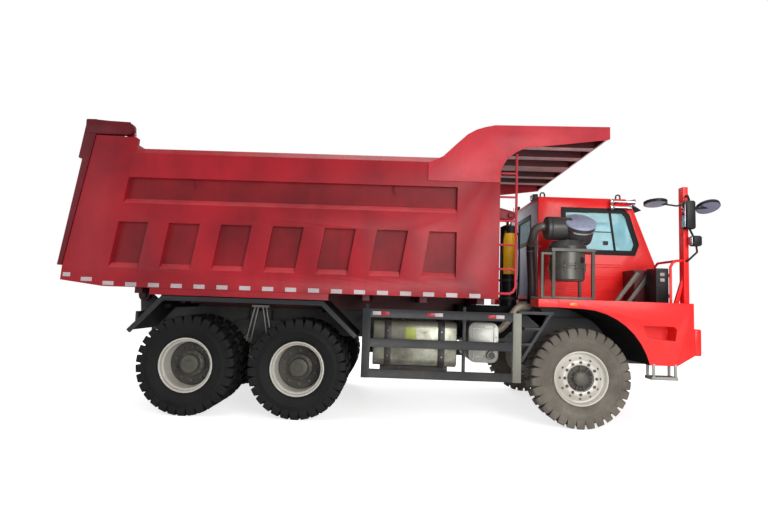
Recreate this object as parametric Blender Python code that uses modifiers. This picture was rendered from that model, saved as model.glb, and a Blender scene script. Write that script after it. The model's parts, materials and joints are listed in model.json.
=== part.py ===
"""Mining dump truck: an off-highway 6x4 tipper with an offset cab, built from separate named pieces.

Metres, +Z up. The truck faces +X and +Y is its left side. The origin is on the ground, below the
middle of the truck's outline. Sizes that can be set by themselves are the named values below, and
everything else is worked out from them.
"""
import math

import bmesh
import bpy
from mathutils import Matrix, Vector

GAP = 0.0003            # between pieces that touch
RUNNING_GAP = 0.006     # between pieces that move past each other
RIGHT, LEFT = -1, 1     # sides of the truck, as the sign of Y

# Wheels and axles
TYRE_RADIUS = 0.673
TYRE_WIDTH = 0.375
TWIN_GAP = 0.045
BOGIE_TYRE_GAP = 0.154
RIM_RADIUS = 0.365
WHEEL_STEPS = 24
FRONT_AXLE_X = 2.60
WHEELBASE = 3.80
FRONT_WHEEL_FACE_Y = 1.605
REAR_WHEEL_FACE_Y = 1.656
KINGPIN_INSET = 0.30
SPINDLE_RADIUS = 0.055
HUB_RADIUS = 0.13

# Frame
RAIL_HEIGHT = 0.40
RAIL_OUTER_Y = 0.52
RAIL_THICKNESS = 0.08
RAIL_TOP_OVER_AXLE = 0.78

# Bed
BED_HALF_WIDTH = 1.66
BED_DEPTH = 1.93
BED_WALL = 0.105
POCKET_DEPTH = 0.07
RIB_COUNT = 6
RIB_WIDTH = 0.29
RIB_LEAN = 0.10
CANOPY_PLATE = 0.015
CANOPY_REACH = 1.49
CANOPY_RISE = 0.46
BED_FRONT_SETBACK = 1.13
BED_TAIL = 1.77
PIVOT_SETBACK = 1.10
TIP_ANGLE = 45

# Cab, deck and guards
CAB_RIGHT_Y = -0.555
CAB_WIDTH = 2.185
CAB_HEIGHT = 1.61
CAB_WALL = 0.05
DECK_HALF_WIDTH = 1.60
GUARD_Y = 1.62
GUARD_TUBE = 0.115
TANK_LENGTH = 1.14

# Hoist
HOIST_X_OVER_AXLE = -0.62
HOIST_RADIUS = 0.14
HOIST_WALL = 0.018
STAGE_GAP = 0.006

# Worked out from the values above
AXLE_Z = TYRE_RADIUS * math.cos(math.pi / WHEEL_STEPS)
BOGIE_SPACING = 2 * TYRE_RADIUS + BOGIE_TYRE_GAP
MIDDLE_AXLE_X = FRONT_AXLE_X - WHEELBASE
REAR_AXLE_X = MIDDLE_AXLE_X - BOGIE_SPACING
BOGIE_X = (MIDDLE_AXLE_X + REAR_AXLE_X) / 2
RAIL_TOP_Z = AXLE_Z + RAIL_TOP_OVER_AXLE
RAIL_BOTTOM_Z = RAIL_TOP_Z - RAIL_HEIGHT
RAIL_INNER_Y = RAIL_OUTER_Y - RAIL_THICKNESS
BED_BOTTOM_Z = RAIL_TOP_Z + 0.24
BED_RIM_Z = BED_BOTTOM_Z + BED_DEPTH
BED_FRONT_X = FRONT_AXLE_X - BED_FRONT_SETBACK
BED_TAIL_X = REAR_AXLE_X - BED_TAIL
SIDE_OUTER_Y = BED_HALF_WIDTH - CANOPY_PLATE
SIDE_INNER_Y = SIDE_OUTER_Y - BED_WALL
PIVOT_X = REAR_AXLE_X - PIVOT_SETBACK
PIVOT_Z = RAIL_TOP_Z + 0.13
DECK_Z = RAIL_TOP_Z + 0.27
CAB_FLOOR_Z = DECK_Z + 0.01
CAB_ROOF_Z = CAB_FLOOR_Z + CAB_HEIGHT
CAB_LEFT_Y = CAB_RIGHT_Y + CAB_WIDTH
CAB_REAR_X = FRONT_AXLE_X - 0.29
CAB_NOSE_X = FRONT_AXLE_X + 1.53
DECK_REAR_X = FRONT_AXLE_X - 0.31
DECK_FRONT_X = FRONT_AXLE_X + 1.50
BUMPER_X = FRONT_AXLE_X + 1.59
KINGPIN_Y = FRONT_WHEEL_FACE_Y - TYRE_WIDTH / 2 - KINGPIN_INSET
HOIST_X = FRONT_AXLE_X + HOIST_X_OVER_AXLE
HOIST_BASE_Z = RAIL_TOP_Z - 0.03
HOIST_EYE_Z = BED_BOTTOM_Z + 1.41
GATE_HINGE_X = REAR_AXLE_X - 1.00
GATE_HINGE_Z = BED_RIM_Z + 0.26

RED = (0.62, 0.02, 0.03)
DARK_RED = (0.25, 0.01, 0.02)
STEEL_GREY = (0.10, 0.11, 0.12)
KHAKI_GREY = (0.22, 0.22, 0.19)
BLACK = (0.015, 0.015, 0.017)
SILVER = (0.60, 0.61, 0.62)
GLASS_GREEN = (0.55, 0.80, 0.82)

TRUCK = bpy.data.collections.new("mining_dump_truck")
CUTTERS = bpy.data.collections.new("cutters")


# ---------------------------------------------------------------- shapes
def start():
    for old in list(bpy.data.objects):
        bpy.data.objects.remove(old)
    for group in (TRUCK, CUTTERS):
        bpy.context.scene.collection.children.link(group)


def mesh_object(name, bm, location=(0, 0, 0)):
    mesh = bpy.data.meshes.new(name)
    bm.to_mesh(mesh)
    bm.free()
    obj = bpy.data.objects.new(name, mesh)
    obj.location = location
    TRUCK.objects.link(obj)
    return obj


def box(name, x, y, z):
    """A box between two values along each axis, in either order."""
    spans = [sorted(pair) for pair in (x, y, z)]
    bm = bmesh.new()
    bmesh.ops.create_cube(bm, size=1)
    bmesh.ops.scale(bm, vec=[high - low for low, high in spans], verts=bm.verts)
    return mesh_object(name, bm, [(low + high) / 2 for low, high in spans])


def cylinder(name, centre, radius, length, axis="Z", sides=20):
    bm = bmesh.new()
    bmesh.ops.create_cone(bm, cap_ends=True, segments=sides, radius1=radius, radius2=radius, depth=length)
    turn = {"X": Matrix.Rotation(math.pi / 2, 3, "Y"), "Y": Matrix.Rotation(math.pi / 2, 3, "X"),
            "Z": Matrix.Identity(3)}[axis]
    bmesh.ops.rotate(bm, matrix=turn, verts=bm.verts)
    return mesh_object(name, bm, centre)


def as_mesh(curve_object):
    """A curve made into a closed mesh with its caps welded, in the same place."""
    bpy.context.view_layer.update()
    graph = bpy.context.evaluated_depsgraph_get()
    mesh = bpy.data.meshes.new_from_object(curve_object.evaluated_get(graph))
    bm = bmesh.new()
    bm.from_mesh(mesh)
    bmesh.ops.remove_doubles(bm, verts=bm.verts, dist=0.00005)
    bmesh.ops.recalc_face_normals(bm, faces=bm.faces)
    bm.to_mesh(mesh)
    bm.free()
    solid = bpy.data.objects.new(curve_object.name, mesh)
    solid.matrix_world = curve_object.matrix_world.copy()
    name = curve_object.name
    bpy.data.objects.remove(curve_object)
    solid.name = name
    TRUCK.objects.link(solid)
    return solid


def outline_solid(name, outline, start_at, end_at, holes=(), plane="xz"):
    """A flat outline in the XZ, YZ or XY plane, as thick as from start_at to end_at on the third axis."""
    low, high = sorted((start_at, end_at))
    curve = bpy.data.curves.new(name, "CURVE")
    curve.dimensions = "2D"
    curve.fill_mode = "BOTH"
    curve.extrude = (high - low) / 2
    for ring in (outline, *holes):
        spline = curve.splines.new("POLY")
        spline.points.add(len(ring) - 1)
        for point, (u, v) in zip(spline.points, ring):
            point.co = (u, v, 0, 1)
        spline.use_cyclic_u = True
    obj = bpy.data.objects.new(name, curve)
    middle = (low + high) / 2
    if plane == "xz":
        obj.matrix_world = Matrix.Translation((0, middle, 0)) @ Matrix.Rotation(math.pi / 2, 4, "X")
    elif plane == "yz":
        turn = Matrix.Rotation(math.pi / 2, 4, "Z") @ Matrix.Rotation(math.pi / 2, 4, "X")
        obj.matrix_world = Matrix.Translation((middle, 0, 0)) @ turn
    else:
        obj.matrix_world = Matrix.Translation((0, 0, middle))
    TRUCK.objects.link(obj)
    return as_mesh(obj)


def tube(name, points, radius, sides=8):
    """A round tube along straight or bent runs, with flat ends."""
    curve = bpy.data.curves.new(name, "CURVE")
    curve.dimensions = "3D"
    curve.bevel_depth = radius
    curve.bevel_resolution = sides // 2 - 2
    curve.use_fill_caps = True
    spline = curve.splines.new("POLY")
    spline.points.add(len(points) - 1)
    for point, place in zip(spline.points, points):
        point.co = (*place, 1)
    obj = bpy.data.objects.new(name, curve)
    TRUCK.objects.link(obj)
    return as_mesh(obj)


def lathe(name, profile, centre, side=LEFT, steps=WHEEL_STEPS, closed=False, upright=False):
    """A turned shape. Its profile is (radius, height) down the outer side, and its axis runs along Y
    towards the given side, or along Z where it is upright."""
    bm = bmesh.new()
    corners = [bm.verts.new((radius, 0, height)) for radius, height in profile]
    for first, second in zip(corners, corners[1:] + (corners[:1] if closed else [])):
        bm.edges.new((first, second))
    obj = mesh_object(name, bm)
    screw = obj.modifiers.new("turn", "SCREW")
    screw.steps = screw.render_steps = steps
    screw.use_merge_vertices = True
    screw.merge_threshold = 0.0001
    half_step = Matrix.Rotation(math.pi / steps, 4, "Z")
    turn = Matrix.Identity(4) if upright else Matrix.Rotation(-side * math.pi / 2, 4, "X")
    obj.matrix_world = Matrix.Translation(centre) @ turn @ half_step
    return obj


def arc(centre, radius, first_degrees, last_degrees, count):
    """Points on an arc, both ends included."""
    angles = [math.radians(first_degrees + (last_degrees - first_degrees) * i / (count - 1))
              for i in range(count)]
    return [(centre[0] + radius * math.cos(a), centre[1] + radius * math.sin(a)) for a in angles]


def circle(centre, radius, count=16):
    return arc(centre, radius, 0, 360 * (count - 1) / count, count)


def hide_in_cutters(obj, group=CUTTERS):
    obj.hide_render = True
    obj.display_type = "WIRE"
    for owner in list(obj.users_collection):
        owner.objects.unlink(obj)
    group.objects.link(obj)


def boolean(obj, others, operation):
    group = bpy.data.collections.new(f"{obj.name}_{operation.lower()}")
    CUTTERS.children.link(group)
    for other in others:
        hide_in_cutters(other, group)
    modifier = obj.modifiers.new(operation.lower(), "BOOLEAN")
    modifier.operation = operation
    modifier.operand_type = "COLLECTION"
    modifier.collection = group
    return obj


def join(name, pieces):
    """One solid made of overlapping pieces."""
    base = pieces[0]
    boolean(base, pieces[1:], "UNION")
    base.name = name
    return base


def cut(obj, cutters):
    return boolean(obj, cutters, "DIFFERENCE")


def paint(obj, colour, roughness=0.5, metallic=0.0):
    material = bpy.data.materials.new(obj.name)
    material.use_nodes = True
    shader = material.node_tree.nodes["Principled BSDF"]
    shader.inputs["Base Color"].default_value = (*colour, 1)
    shader.inputs["Roughness"].default_value = roughness
    shader.inputs["Metallic"].default_value = metallic
    obj.data.materials.clear()
    obj.data.materials.append(material)
    return obj


def pivot(name, place, pieces, parent=None):
    """An empty on a joint's axis, which carries the pieces that move with it."""
    empty = bpy.data.objects.new(name, None)
    empty.location = place
    TRUCK.objects.link(empty)
    bpy.context.view_layer.update()
    for piece in pieces:
        piece.parent = empty
        piece.matrix_parent_inverse = empty.matrix_world.inverted()
    if parent:
        empty.parent = parent
        empty.matrix_parent_inverse = parent.matrix_world.inverted()
    return empty


def side_name(side):
    return "right" if side == RIGHT else "left"


# ---------------------------------------------------------------- chassis
ENGINE_X = (FRONT_AXLE_X - 0.35, FRONT_AXLE_X + 1.05)
EAR_RADIUS = 0.09
CHASSIS_EAR_Y = (RAIL_OUTER_Y - 0.02, RAIL_OUTER_Y + 0.04)
BED_EAR_Y = (RAIL_OUTER_Y + 0.055, RAIL_OUTER_Y + 0.105)
PIVOT_PIN_RADIUS = 0.04
TRUNNION_RADIUS = 0.03
CRADLE_EAR_Y = (HOIST_RADIUS + 0.015, HOIST_RADIUS + 0.045)


def chassis_frame():
    """Two rails with cross members, the bed pivot ears and pins, the hoist cradle and the front horns."""
    rail_x = (PIVOT_X + 0.10, BUMPER_X - GAP)
    pieces = []
    for side in (RIGHT, LEFT):
        rail_y = (side * RAIL_INNER_Y, side * RAIL_OUTER_Y)
        pieces.append(box("rail", rail_x, rail_y, (RAIL_BOTTOM_Z, RAIL_TOP_Z)))
        horn_x = (FRONT_AXLE_X + 1.02, FRONT_AXLE_X + 1.40)
        pieces.append(box("horn", horn_x, rail_y, (RAIL_BOTTOM_Z - 0.27, RAIL_BOTTOM_Z + 0.03)))
        ear = arc((PIVOT_X, PIVOT_Z), EAR_RADIUS, 20, 200, 9)
        foot = [(PIVOT_X - 0.06, RAIL_BOTTOM_Z + 0.22), (PIVOT_X + 0.30, RAIL_BOTTOM_Z + 0.12),
                (PIVOT_X + 0.30, RAIL_TOP_Z - 0.02)]
        ear_y = [side * y for y in CHASSIS_EAR_Y]
        pieces.append(outline_solid("pivot_ear", ear + foot, *ear_y))
        pin_y = side * (CHASSIS_EAR_Y[0] + BED_EAR_Y[1] + 0.02) / 2
        pin_length = BED_EAR_Y[1] + 0.02 - CHASSIS_EAR_Y[0]
        pieces.append(cylinder("pivot_pin", (PIVOT_X, pin_y, PIVOT_Z), PIVOT_PIN_RADIUS, pin_length, "Y"))
        cradle = [(HOIST_X - 0.10, RAIL_TOP_Z - 0.25), (HOIST_X + 0.10, RAIL_TOP_Z - 0.25)]
        cradle += arc((HOIST_X, HOIST_BASE_Z), 0.07, 0, 180, 7)
        cradle_y = [side * y for y in CRADLE_EAR_Y]
        bore = circle((HOIST_X, HOIST_BASE_Z), TRUNNION_RADIUS + 0.003)
        pieces.append(outline_solid("cradle_ear", cradle, *cradle_y, holes=[bore]))
    inner = RAIL_INNER_Y + 0.02
    member_z = (RAIL_BOTTOM_Z + 0.05, RAIL_TOP_Z - 0.05)
    for x in (PIVOT_X + 0.16, BOGIE_X, MIDDLE_AXLE_X + 0.75, MIDDLE_AXLE_X + 1.75, ENGINE_X[1] + 0.06):
        pieces.append(box("cross_member", (x - 0.05, x + 0.05), (-inner, inner), member_z))
    cradle_z = (RAIL_BOTTOM_Z, RAIL_TOP_Z - 0.20)
    pieces.append(box("cradle_beam", (HOIST_X - 0.12, HOIST_X + 0.12), (-inner, inner), cradle_z))
    engine_beam_x = (HOIST_X + 0.10, ENGINE_X[0] - GAP)
    pieces.append(box("engine_beam", engine_beam_x, (-inner, inner), (RAIL_BOTTOM_Z, RAIL_TOP_Z - 0.22)))
    return [paint(join("chassis_frame", pieces), STEEL_GREY, 0.55, 0.2)]


def front_axle():
    """Drop-centre beam with the kingpin bosses, and the leaf springs clamped to it."""
    boss_z = (AXLE_Z - 0.08, AXLE_Z + 0.08)
    top_z, low_z = AXLE_Z + 0.07, AXLE_Z - 0.03
    over = [(KINGPIN_Y - 0.02, top_z), (0.80, top_z), (0.65, low_z)]
    under = [(0.70, low_z - 0.14), (0.85, AXLE_Z - 0.07), (KINGPIN_Y - 0.02, AXLE_Z - 0.07)]
    ring = over + [(-y, z) for y, z in over[::-1] + under[::-1]] + under
    beam = outline_solid("beam", ring, FRONT_AXLE_X - 0.06, FRONT_AXLE_X + 0.06, plane="yz")
    pieces, bores = [beam], []
    for side in (RIGHT, LEFT):
        place = (FRONT_AXLE_X, side * KINGPIN_Y, AXLE_Z)
        pieces.append(cylinder("boss", place, 0.07, boss_z[1] - boss_z[0]))
        bores.append(cylinder("kingpin_bore", place, 0.034, 0.3))
        spring_y = (side * (RAIL_INNER_Y - 0.01), side * (RAIL_OUTER_Y + 0.01))
        pack = [(-0.72, RAIL_BOTTOM_Z - 0.09), (0, AXLE_Z + 0.12), (0.72, RAIL_BOTTOM_Z - 0.09),
                (0.72, RAIL_BOTTOM_Z - 0.03), (0, AXLE_Z + 0.23), (-0.72, RAIL_BOTTOM_Z - 0.03)]
        pack = [(FRONT_AXLE_X + x, z) for x, z in pack]
        pieces.append(outline_solid("leaf_pack", pack, *spring_y))
        for end in (-1, 1):
            x = FRONT_AXLE_X + end * 0.72
            pieces.append(box("hanger", (x - 0.05, x + 0.05), spring_y, (RAIL_BOTTOM_Z - 0.14, RAIL_BOTTOM_Z - GAP)))
        seat_x = (FRONT_AXLE_X - 0.09, FRONT_AXLE_X + 0.09)
        pieces.append(box("spring_seat", seat_x, spring_y, (low_z - 0.02, AXLE_Z + 0.17)))
    return [paint(cut(join("front_axle", pieces), bores), STEEL_GREY, 0.5, 0.3)]


def knuckle(side):
    """C-shaped knuckle with its kingpin and wheel spindle."""
    y = side * KINGPIN_Y
    pieces = [cylinder("kingpin", (FRONT_AXLE_X, y, AXLE_Z), 0.03, 0.32)]
    for z in (AXLE_Z - 0.125, AXLE_Z + 0.125):
        pieces.append(cylinder("lug", (FRONT_AXLE_X, y, z), 0.065, 0.07))
        arm_y = (y, y + side * 0.125)
        pieces.append(box("arm", (FRONT_AXLE_X - 0.05, FRONT_AXLE_X + 0.05), arm_y, (z - 0.035, z + 0.035)))
    web_y = (y + side * 0.085, y + side * 0.13)
    pieces.append(box("web", (FRONT_AXLE_X - 0.06, FRONT_AXLE_X + 0.06), web_y, (AXLE_Z - 0.16, AXLE_Z + 0.16)))
    spindle_length = KINGPIN_INSET + 0.02
    middle = (FRONT_AXLE_X, y + side * (0.10 + spindle_length / 2), AXLE_Z)
    pieces.append(cylinder("spindle", middle, SPINDLE_RADIUS, spindle_length, "Y"))
    return [paint(join(f"knuckle_{side_name(side)}", pieces), STEEL_GREY, 0.5, 0.4)]


def drive_axle(name, x):
    """Driven axle: housing, differential case, brake drums, spring seats and wheel spindles."""
    drum_inner = REAR_WHEEL_FACE_Y - 2 * TYRE_WIDTH - TWIN_GAP - 0.16
    pieces = [cylinder("housing", (x, 0, AXLE_Z), 0.13, 2 * drum_inner + 0.1, "Y")]
    pieces.append(lathe("differential", [(0, 0.26), (0.17, 0.20), (0.26, 0.08), (0.26, -0.08), (0.17, -0.20), (0, -0.26)],
                        (x, 0, AXLE_Z), steps=16))
    for side in (RIGHT, LEFT):
        drum_y = side * (drum_inner + 0.05)
        pieces.append(cylinder("drum", (x, drum_y, AXLE_Z), 0.20, 0.12, "Y"))
        spindle = REAR_WHEEL_FACE_Y - 0.42 - drum_inner
        middle = (x, side * (drum_inner + spindle / 2), AXLE_Z)
        pieces.append(cylinder("spindle", middle, SPINDLE_RADIUS, spindle, "Y"))
        seat_z = (AXLE_Z + 0.08, AXLE_Z + 0.23)
        pieces.append(box("spring_seat", (x - 0.10, x + 0.10), (side * 0.56, side * 0.68), seat_z))
    return [paint(join(name, pieces), STEEL_GREY, 0.5, 0.3)]


def rear_suspension():
    """Leaf packs over the two driven axles, turning on a trunnion tube below the frame."""
    seat_top = AXLE_Z + 0.23 + GAP
    reach = BOGIE_SPACING / 2
    pieces = [cylinder("trunnion", (BOGIE_X, 0, RAIL_BOTTOM_Z - 0.10), 0.07, 1.40, "Y")]
    for side in (RIGHT, LEFT):
        pack = [(-reach - 0.08, seat_top), (-reach + 0.10, seat_top), (-0.25, seat_top + 0.13),
                (0.25, seat_top + 0.13), (reach - 0.10, seat_top), (reach + 0.08, seat_top),
                (reach + 0.08, seat_top + 0.05), (0.30, seat_top + 0.36), (-0.30, seat_top + 0.36),
                (-reach - 0.08, seat_top + 0.05)]
        pack = [(BOGIE_X + x, z) for x, z in pack]
        pack_y = (side * (RAIL_OUTER_Y + 0.03), side * (RAIL_OUTER_Y + 0.17))
        pieces.append(outline_solid("leaf_pack", pack, *pack_y))
        clamp_y = (side * (RAIL_OUTER_Y + 0.01), side * (RAIL_OUTER_Y + 0.20))
        clamp_z = (RAIL_BOTTOM_Z - 0.14, seat_top + 0.50)
        pieces.append(box("clamp", (BOGIE_X - 0.15, BOGIE_X + 0.15), clamp_y, clamp_z))
        saddle_y = (side * RAIL_INNER_Y, side * (RAIL_OUTER_Y + 0.05))
        pieces.append(box("saddle", (BOGIE_X - 0.12, BOGIE_X + 0.12), saddle_y, (RAIL_BOTTOM_Z - 0.12, RAIL_BOTTOM_Z - GAP)))
    return [paint(join("rear_suspension", pieces), STEEL_GREY, 0.5, 0.3)]


def engine_block():
    return [paint(box("engine_block", ENGINE_X, (-0.38, 0.38), (RAIL_BOTTOM_Z - 0.13, DECK_Z - 0.04)), BLACK, 0.6)]


# ---------------------------------------------------------------- side equipment
GUARD_X = (MIDDLE_AXLE_X + 0.855, FRONT_AXLE_X - 0.82)
GUARD_TOP_Z = RAIL_TOP_Z + 0.06
TANK_X = (GUARD_X[0] + 0.145, GUARD_X[0] + 0.145 + TANK_LENGTH)
TANK_Z = (AXLE_Z + 0.075, AXLE_Z + 0.69)
TANK_Y = (-1.52, -0.88)
STRAP_X = (TANK_X[0] + 0.20, TANK_X[1] - 0.21)
BOX_X = (GUARD_X[1] - 0.67, GUARD_X[1] - 0.26)


def rounded_outline(y, z, radius, count=4):
    """A rectangle with round corners, anticlockwise."""
    low_y, high_y = sorted(y)
    corners = ((high_y - radius, z[0] + radius, -90), (high_y - radius, z[1] - radius, 0),
               (low_y + radius, z[1] - radius, 90), (low_y + radius, z[0] + radius, 180))
    points = []
    for centre_y, centre_z, first in corners:
        points += arc((centre_y, centre_z), radius, first, first + 90, count)
    return points


def fuel_tank():
    shell = rounded_outline(TANK_Y, TANK_Z, 0.10)
    return [paint(outline_solid("fuel_tank", shell, *TANK_X, plane="yz"), SILVER, 0.35, 0.8)]


def tank_cradle():
    """Two straps round the tank, the shelf below it and the brackets that carry it on the rail."""
    pieces = []
    ring_y = (TANK_Y[0] - 0.012, TANK_Y[1] + 0.012)
    ring_z = (TANK_Z[0] - 0.012, TANK_Z[1] + 0.012)
    for x in STRAP_X:
        strap = outline_solid("strap", rounded_outline(ring_y, ring_z, 0.11), x - 0.045, x + 0.045, plane="yz",
                              holes=[rounded_outline((TANK_Y[0] - GAP, TANK_Y[1] + GAP),
                                                     (TANK_Z[0] - GAP, TANK_Z[1] + GAP), 0.10)])
        arm = box("arm", (x - 0.045, x + 0.045), (TANK_Y[1] + 0.005, -RAIL_OUTER_Y - GAP), (RAIL_BOTTOM_Z - 0.02, RAIL_BOTTOM_Z + 0.10))
        pieces += [strap, arm]
    shelf_z = (TANK_Z[0] - 0.07, TANK_Z[0] - 0.006)
    shelf = box("shelf", (STRAP_X[0] - 0.10, STRAP_X[1] + 0.10), (TANK_Y[0] + 0.12, TANK_Y[1] - 0.12), shelf_z)
    return [paint(join("tank_cradle", [shelf] + pieces), BLACK, 0.5, 0.3)]


def exhaust_box():
    """Silver treatment box with its bent outlet and the pipe that rises to the engine side."""
    shell = rounded_outline(BOX_X, (AXLE_Z + 0.15, AXLE_Z + 0.695), 0.09)
    body = outline_solid("shell", shell, -1.45, -RAIL_OUTER_Y - GAP)
    pipe_x = BOX_X[1] + 0.08
    rise = [(BOX_X[1] - 0.05, -1.15, AXLE_Z + 0.55), (pipe_x, -1.15, AXLE_Z + 0.60), (pipe_x + 0.10, -1.15, AXLE_Z + 0.70),
            (pipe_x + 0.20, -1.15, AXLE_Z + 0.85), (pipe_x + 0.27, -1.15, AXLE_Z + 0.92),
            (pipe_x + 0.38, -1.10, AXLE_Z + 0.93), (pipe_x + 0.46, -0.95, AXLE_Z + 0.93)]
    pipe = tube("pipe", rise, 0.045, 10)
    outlet = cylinder("outlet", (BOX_X[1] - 0.11, -1.48, AXLE_Z + 0.26), 0.06, 0.12, "Y", 16)
    return [paint(join("exhaust_box", [body, pipe, outlet]), SILVER, 0.4, 0.7)]


def side_guard(side):
    """Welded guard between the wheels, its brackets to the rail, and the boarding steps behind it."""
    face_y = side * (GUARD_Y - 0.03), side * (GUARD_Y + 0.03)
    post = 0.11
    pieces = []
    for low in (GUARD_X[0], GUARD_X[1] - post):
        pieces.append(box("post", (low, low + post), face_y, (AXLE_Z - 0.075, GUARD_TOP_Z)))
    for low in (AXLE_Z - 0.075, AXLE_Z + 0.33, GUARD_TOP_Z - GUARD_TUBE):
        rail_x = (GUARD_X[0] + 0.02, GUARD_X[1] - 0.02)
        pieces.append(box("rail", rail_x, (face_y[0] + side * 0.004, face_y[1] - side * 0.004), (low + 0.002, low + GUARD_TUBE)))
    for x in (GUARD_X[0] + 0.06, TANK_X[1] + 0.085):
        bar_y = (side * (GUARD_Y - 0.08), side * (GUARD_Y - 0.02))
        pieces.append(box("bar", (x - 0.02, x + 0.02), bar_y, (AXLE_Z - 0.06, RAIL_TOP_Z + 0.12)))
        arm_y = (side * (GUARD_Y - 0.03), side * (RAIL_OUTER_Y + GAP))
        pieces.append(box("arm", (x - 0.03, x + 0.03), arm_y, (RAIL_TOP_Z - 0.08, RAIL_TOP_Z - 0.02)))
    step_y = (side * (GUARD_Y - 0.17), side * (GUARD_Y - 0.03))
    rear_x = GUARD_X[1] - 0.02
    top_z, low_z = RAIL_TOP_Z + 0.07, AXLE_Z + 0.215
    top_x, low_x = FRONT_AXLE_X - 0.37, FRONT_AXLE_X - 0.77
    stringer = [(low_x - 0.03, low_z - 0.03), (low_x, low_z), (top_x, top_z + 0.02), (rear_x, top_z + 0.02),
                (rear_x, top_z - 0.02), (top_x - 0.07, top_z - 0.02), (low_x - 0.04, low_z + 0.02), (rear_x, low_z + 0.02),
                (rear_x, low_z - 0.03)]
    for y in (step_y[0], step_y[1] - side * 0.03):
        pieces.append(outline_solid("stringer", stringer, y, y + side * 0.03))
    for index in range(4):
        share = index / 3
        tread_x = (rear_x - 0.01 + 0.13 * (1 - share), top_x + (low_x - top_x) * share - 0.005)
        z = top_z + (low_z - top_z) * share
        pieces.append(box("tread", tread_x, step_y, (z - 0.019, z + 0.017)))
    return [paint(join(f"side_guard_{side_name(side)}", pieces), STEEL_GREY, 0.5, 0.3)]


MUDGUARD_TOP_Z = AXLE_Z + 0.915
MUDGUARD_SHEET = 0.012


def rear_mudguard(side):
    """Folded sheet over the two driven wheels, on two brackets from the rail."""
    front_x, rear_x = MIDDLE_AXLE_X + 0.32, REAR_AXLE_X - 0.38
    outer = [(rear_x - 0.44, AXLE_Z + 0.45), (rear_x, MUDGUARD_TOP_Z), (front_x, MUDGUARD_TOP_Z), (front_x + 0.47, AXLE_Z + 0.47)]
    t = MUDGUARD_SHEET
    inner = [(front_x + 0.47 - t, AXLE_Z + 0.47 - t), (front_x - t / 2, MUDGUARD_TOP_Z - t),
             (rear_x + t / 2, MUDGUARD_TOP_Z - t), (rear_x - 0.44 + t, AXLE_Z + 0.45 - t)]
    sheet_y = (side * 0.80, side * (REAR_WHEEL_FACE_Y - 0.02))
    pieces = [outline_solid("sheet", outer + inner, *sheet_y)]
    flange = [(x, z) for x, z in outer] + [(front_x + 0.43, AXLE_Z + 0.43), (front_x - 0.03, MUDGUARD_TOP_Z - 0.06),
                                           (rear_x + 0.03, MUDGUARD_TOP_Z - 0.06), (rear_x - 0.40, AXLE_Z + 0.41)]
    flange_y = (side * (REAR_WHEEL_FACE_Y - 0.05), side * (REAR_WHEEL_FACE_Y - 0.015))
    pieces.append(outline_solid("flange", flange, *flange_y))
    for x in (rear_x + 0.06, front_x - 0.06):
        bracket_y = (side * (RAIL_OUTER_Y + GAP), side * (REAR_WHEEL_FACE_Y - 0.1))
        pieces.append(box("bracket", (x - 0.04, x + 0.04), bracket_y, (RAIL_TOP_Z - 0.02, RAIL_TOP_Z + 0.03)))
        pieces.append(box("post", (x - 0.03, x + 0.03), (side * 0.82, side * 0.88), (RAIL_TOP_Z, MUDGUARD_TOP_Z - t / 2)))
    return [paint(join(f"rear_mudguard_{side_name(side)}", pieces), KHAKI_GREY, 0.6)]


# ---------------------------------------------------------------- front end
ARCH_RADIUS = TYRE_RADIUS + 0.257
DECK_PLATE_Z = AXLE_Z + ARCH_RADIUS
DECK_UNDER_Z = DECK_Z - 0.11


def fender(side):
    """Deck, arch panel and front corner as one welded box, with the pocket step and the hanging step."""
    low_z = AXLE_Z + 0.21
    steep = math.degrees(math.asin(0.21 / ARCH_RADIUS))
    arch = [(x, min(z, DECK_UNDER_Z)) for x, z in arc((FRONT_AXLE_X, AXLE_Z), ARCH_RADIUS, steep, 88, 9)]
    outline = [(DECK_REAR_X, DECK_Z), (DECK_REAR_X, DECK_UNDER_Z)] + arch[::-1]
    outline += [(DECK_FRONT_X - 0.23, low_z), (DECK_FRONT_X, AXLE_Z + 0.35), (DECK_FRONT_X, DECK_Z)]
    pieces = [outline_solid("panel", outline, side * (RAIL_OUTER_Y + GAP), side * DECK_HALF_WIDTH)]
    extension_y = (side * (DECK_HALF_WIDTH - 0.40), side * (DECK_HALF_WIDTH - 0.01))
    pieces.append(box("extension", (DECK_REAR_X - 0.27, DECK_REAR_X + 0.02), extension_y, (DECK_UNDER_Z, DECK_Z - 0.002)))
    step_x = (DECK_FRONT_X - 0.54, DECK_FRONT_X - 0.25)
    step_y = (side * (DECK_HALF_WIDTH - 0.17), side * (DECK_HALF_WIDTH - 0.01))
    for x in step_x:
        for y in step_y:
            leg_y = (y - 0.012, y + 0.012)
            pieces.append(box("leg", (x - 0.015, x + 0.015), leg_y, (AXLE_Z + 0.03, low_z + 0.02)))
    tread_x = (step_x[0] - 0.03, step_x[1] + 0.03)
    pieces.append(box("tread", tread_x, (step_y[0] - side * 0.02, step_y[1] + side * 0.01), (AXLE_Z + 0.02, AXLE_Z + 0.06)))
    pocket_z = DECK_Z - 0.32
    pocket = [(DECK_FRONT_X - 0.68, pocket_z), (DECK_FRONT_X - 0.63, pocket_z - 0.16), (DECK_FRONT_X - 0.25, pocket_z - 0.19),
              (DECK_FRONT_X - 0.23, pocket_z - 0.03), (DECK_FRONT_X - 0.27, pocket_z)]
    cutter = outline_solid("pocket_cutter", pocket, side * (DECK_HALF_WIDTH - 0.22), side * (DECK_HALF_WIDTH + 0.05))
    return [paint(cut(join(f"fender_{side_name(side)}", pieces), [cutter]), RED, 0.35)]


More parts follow.
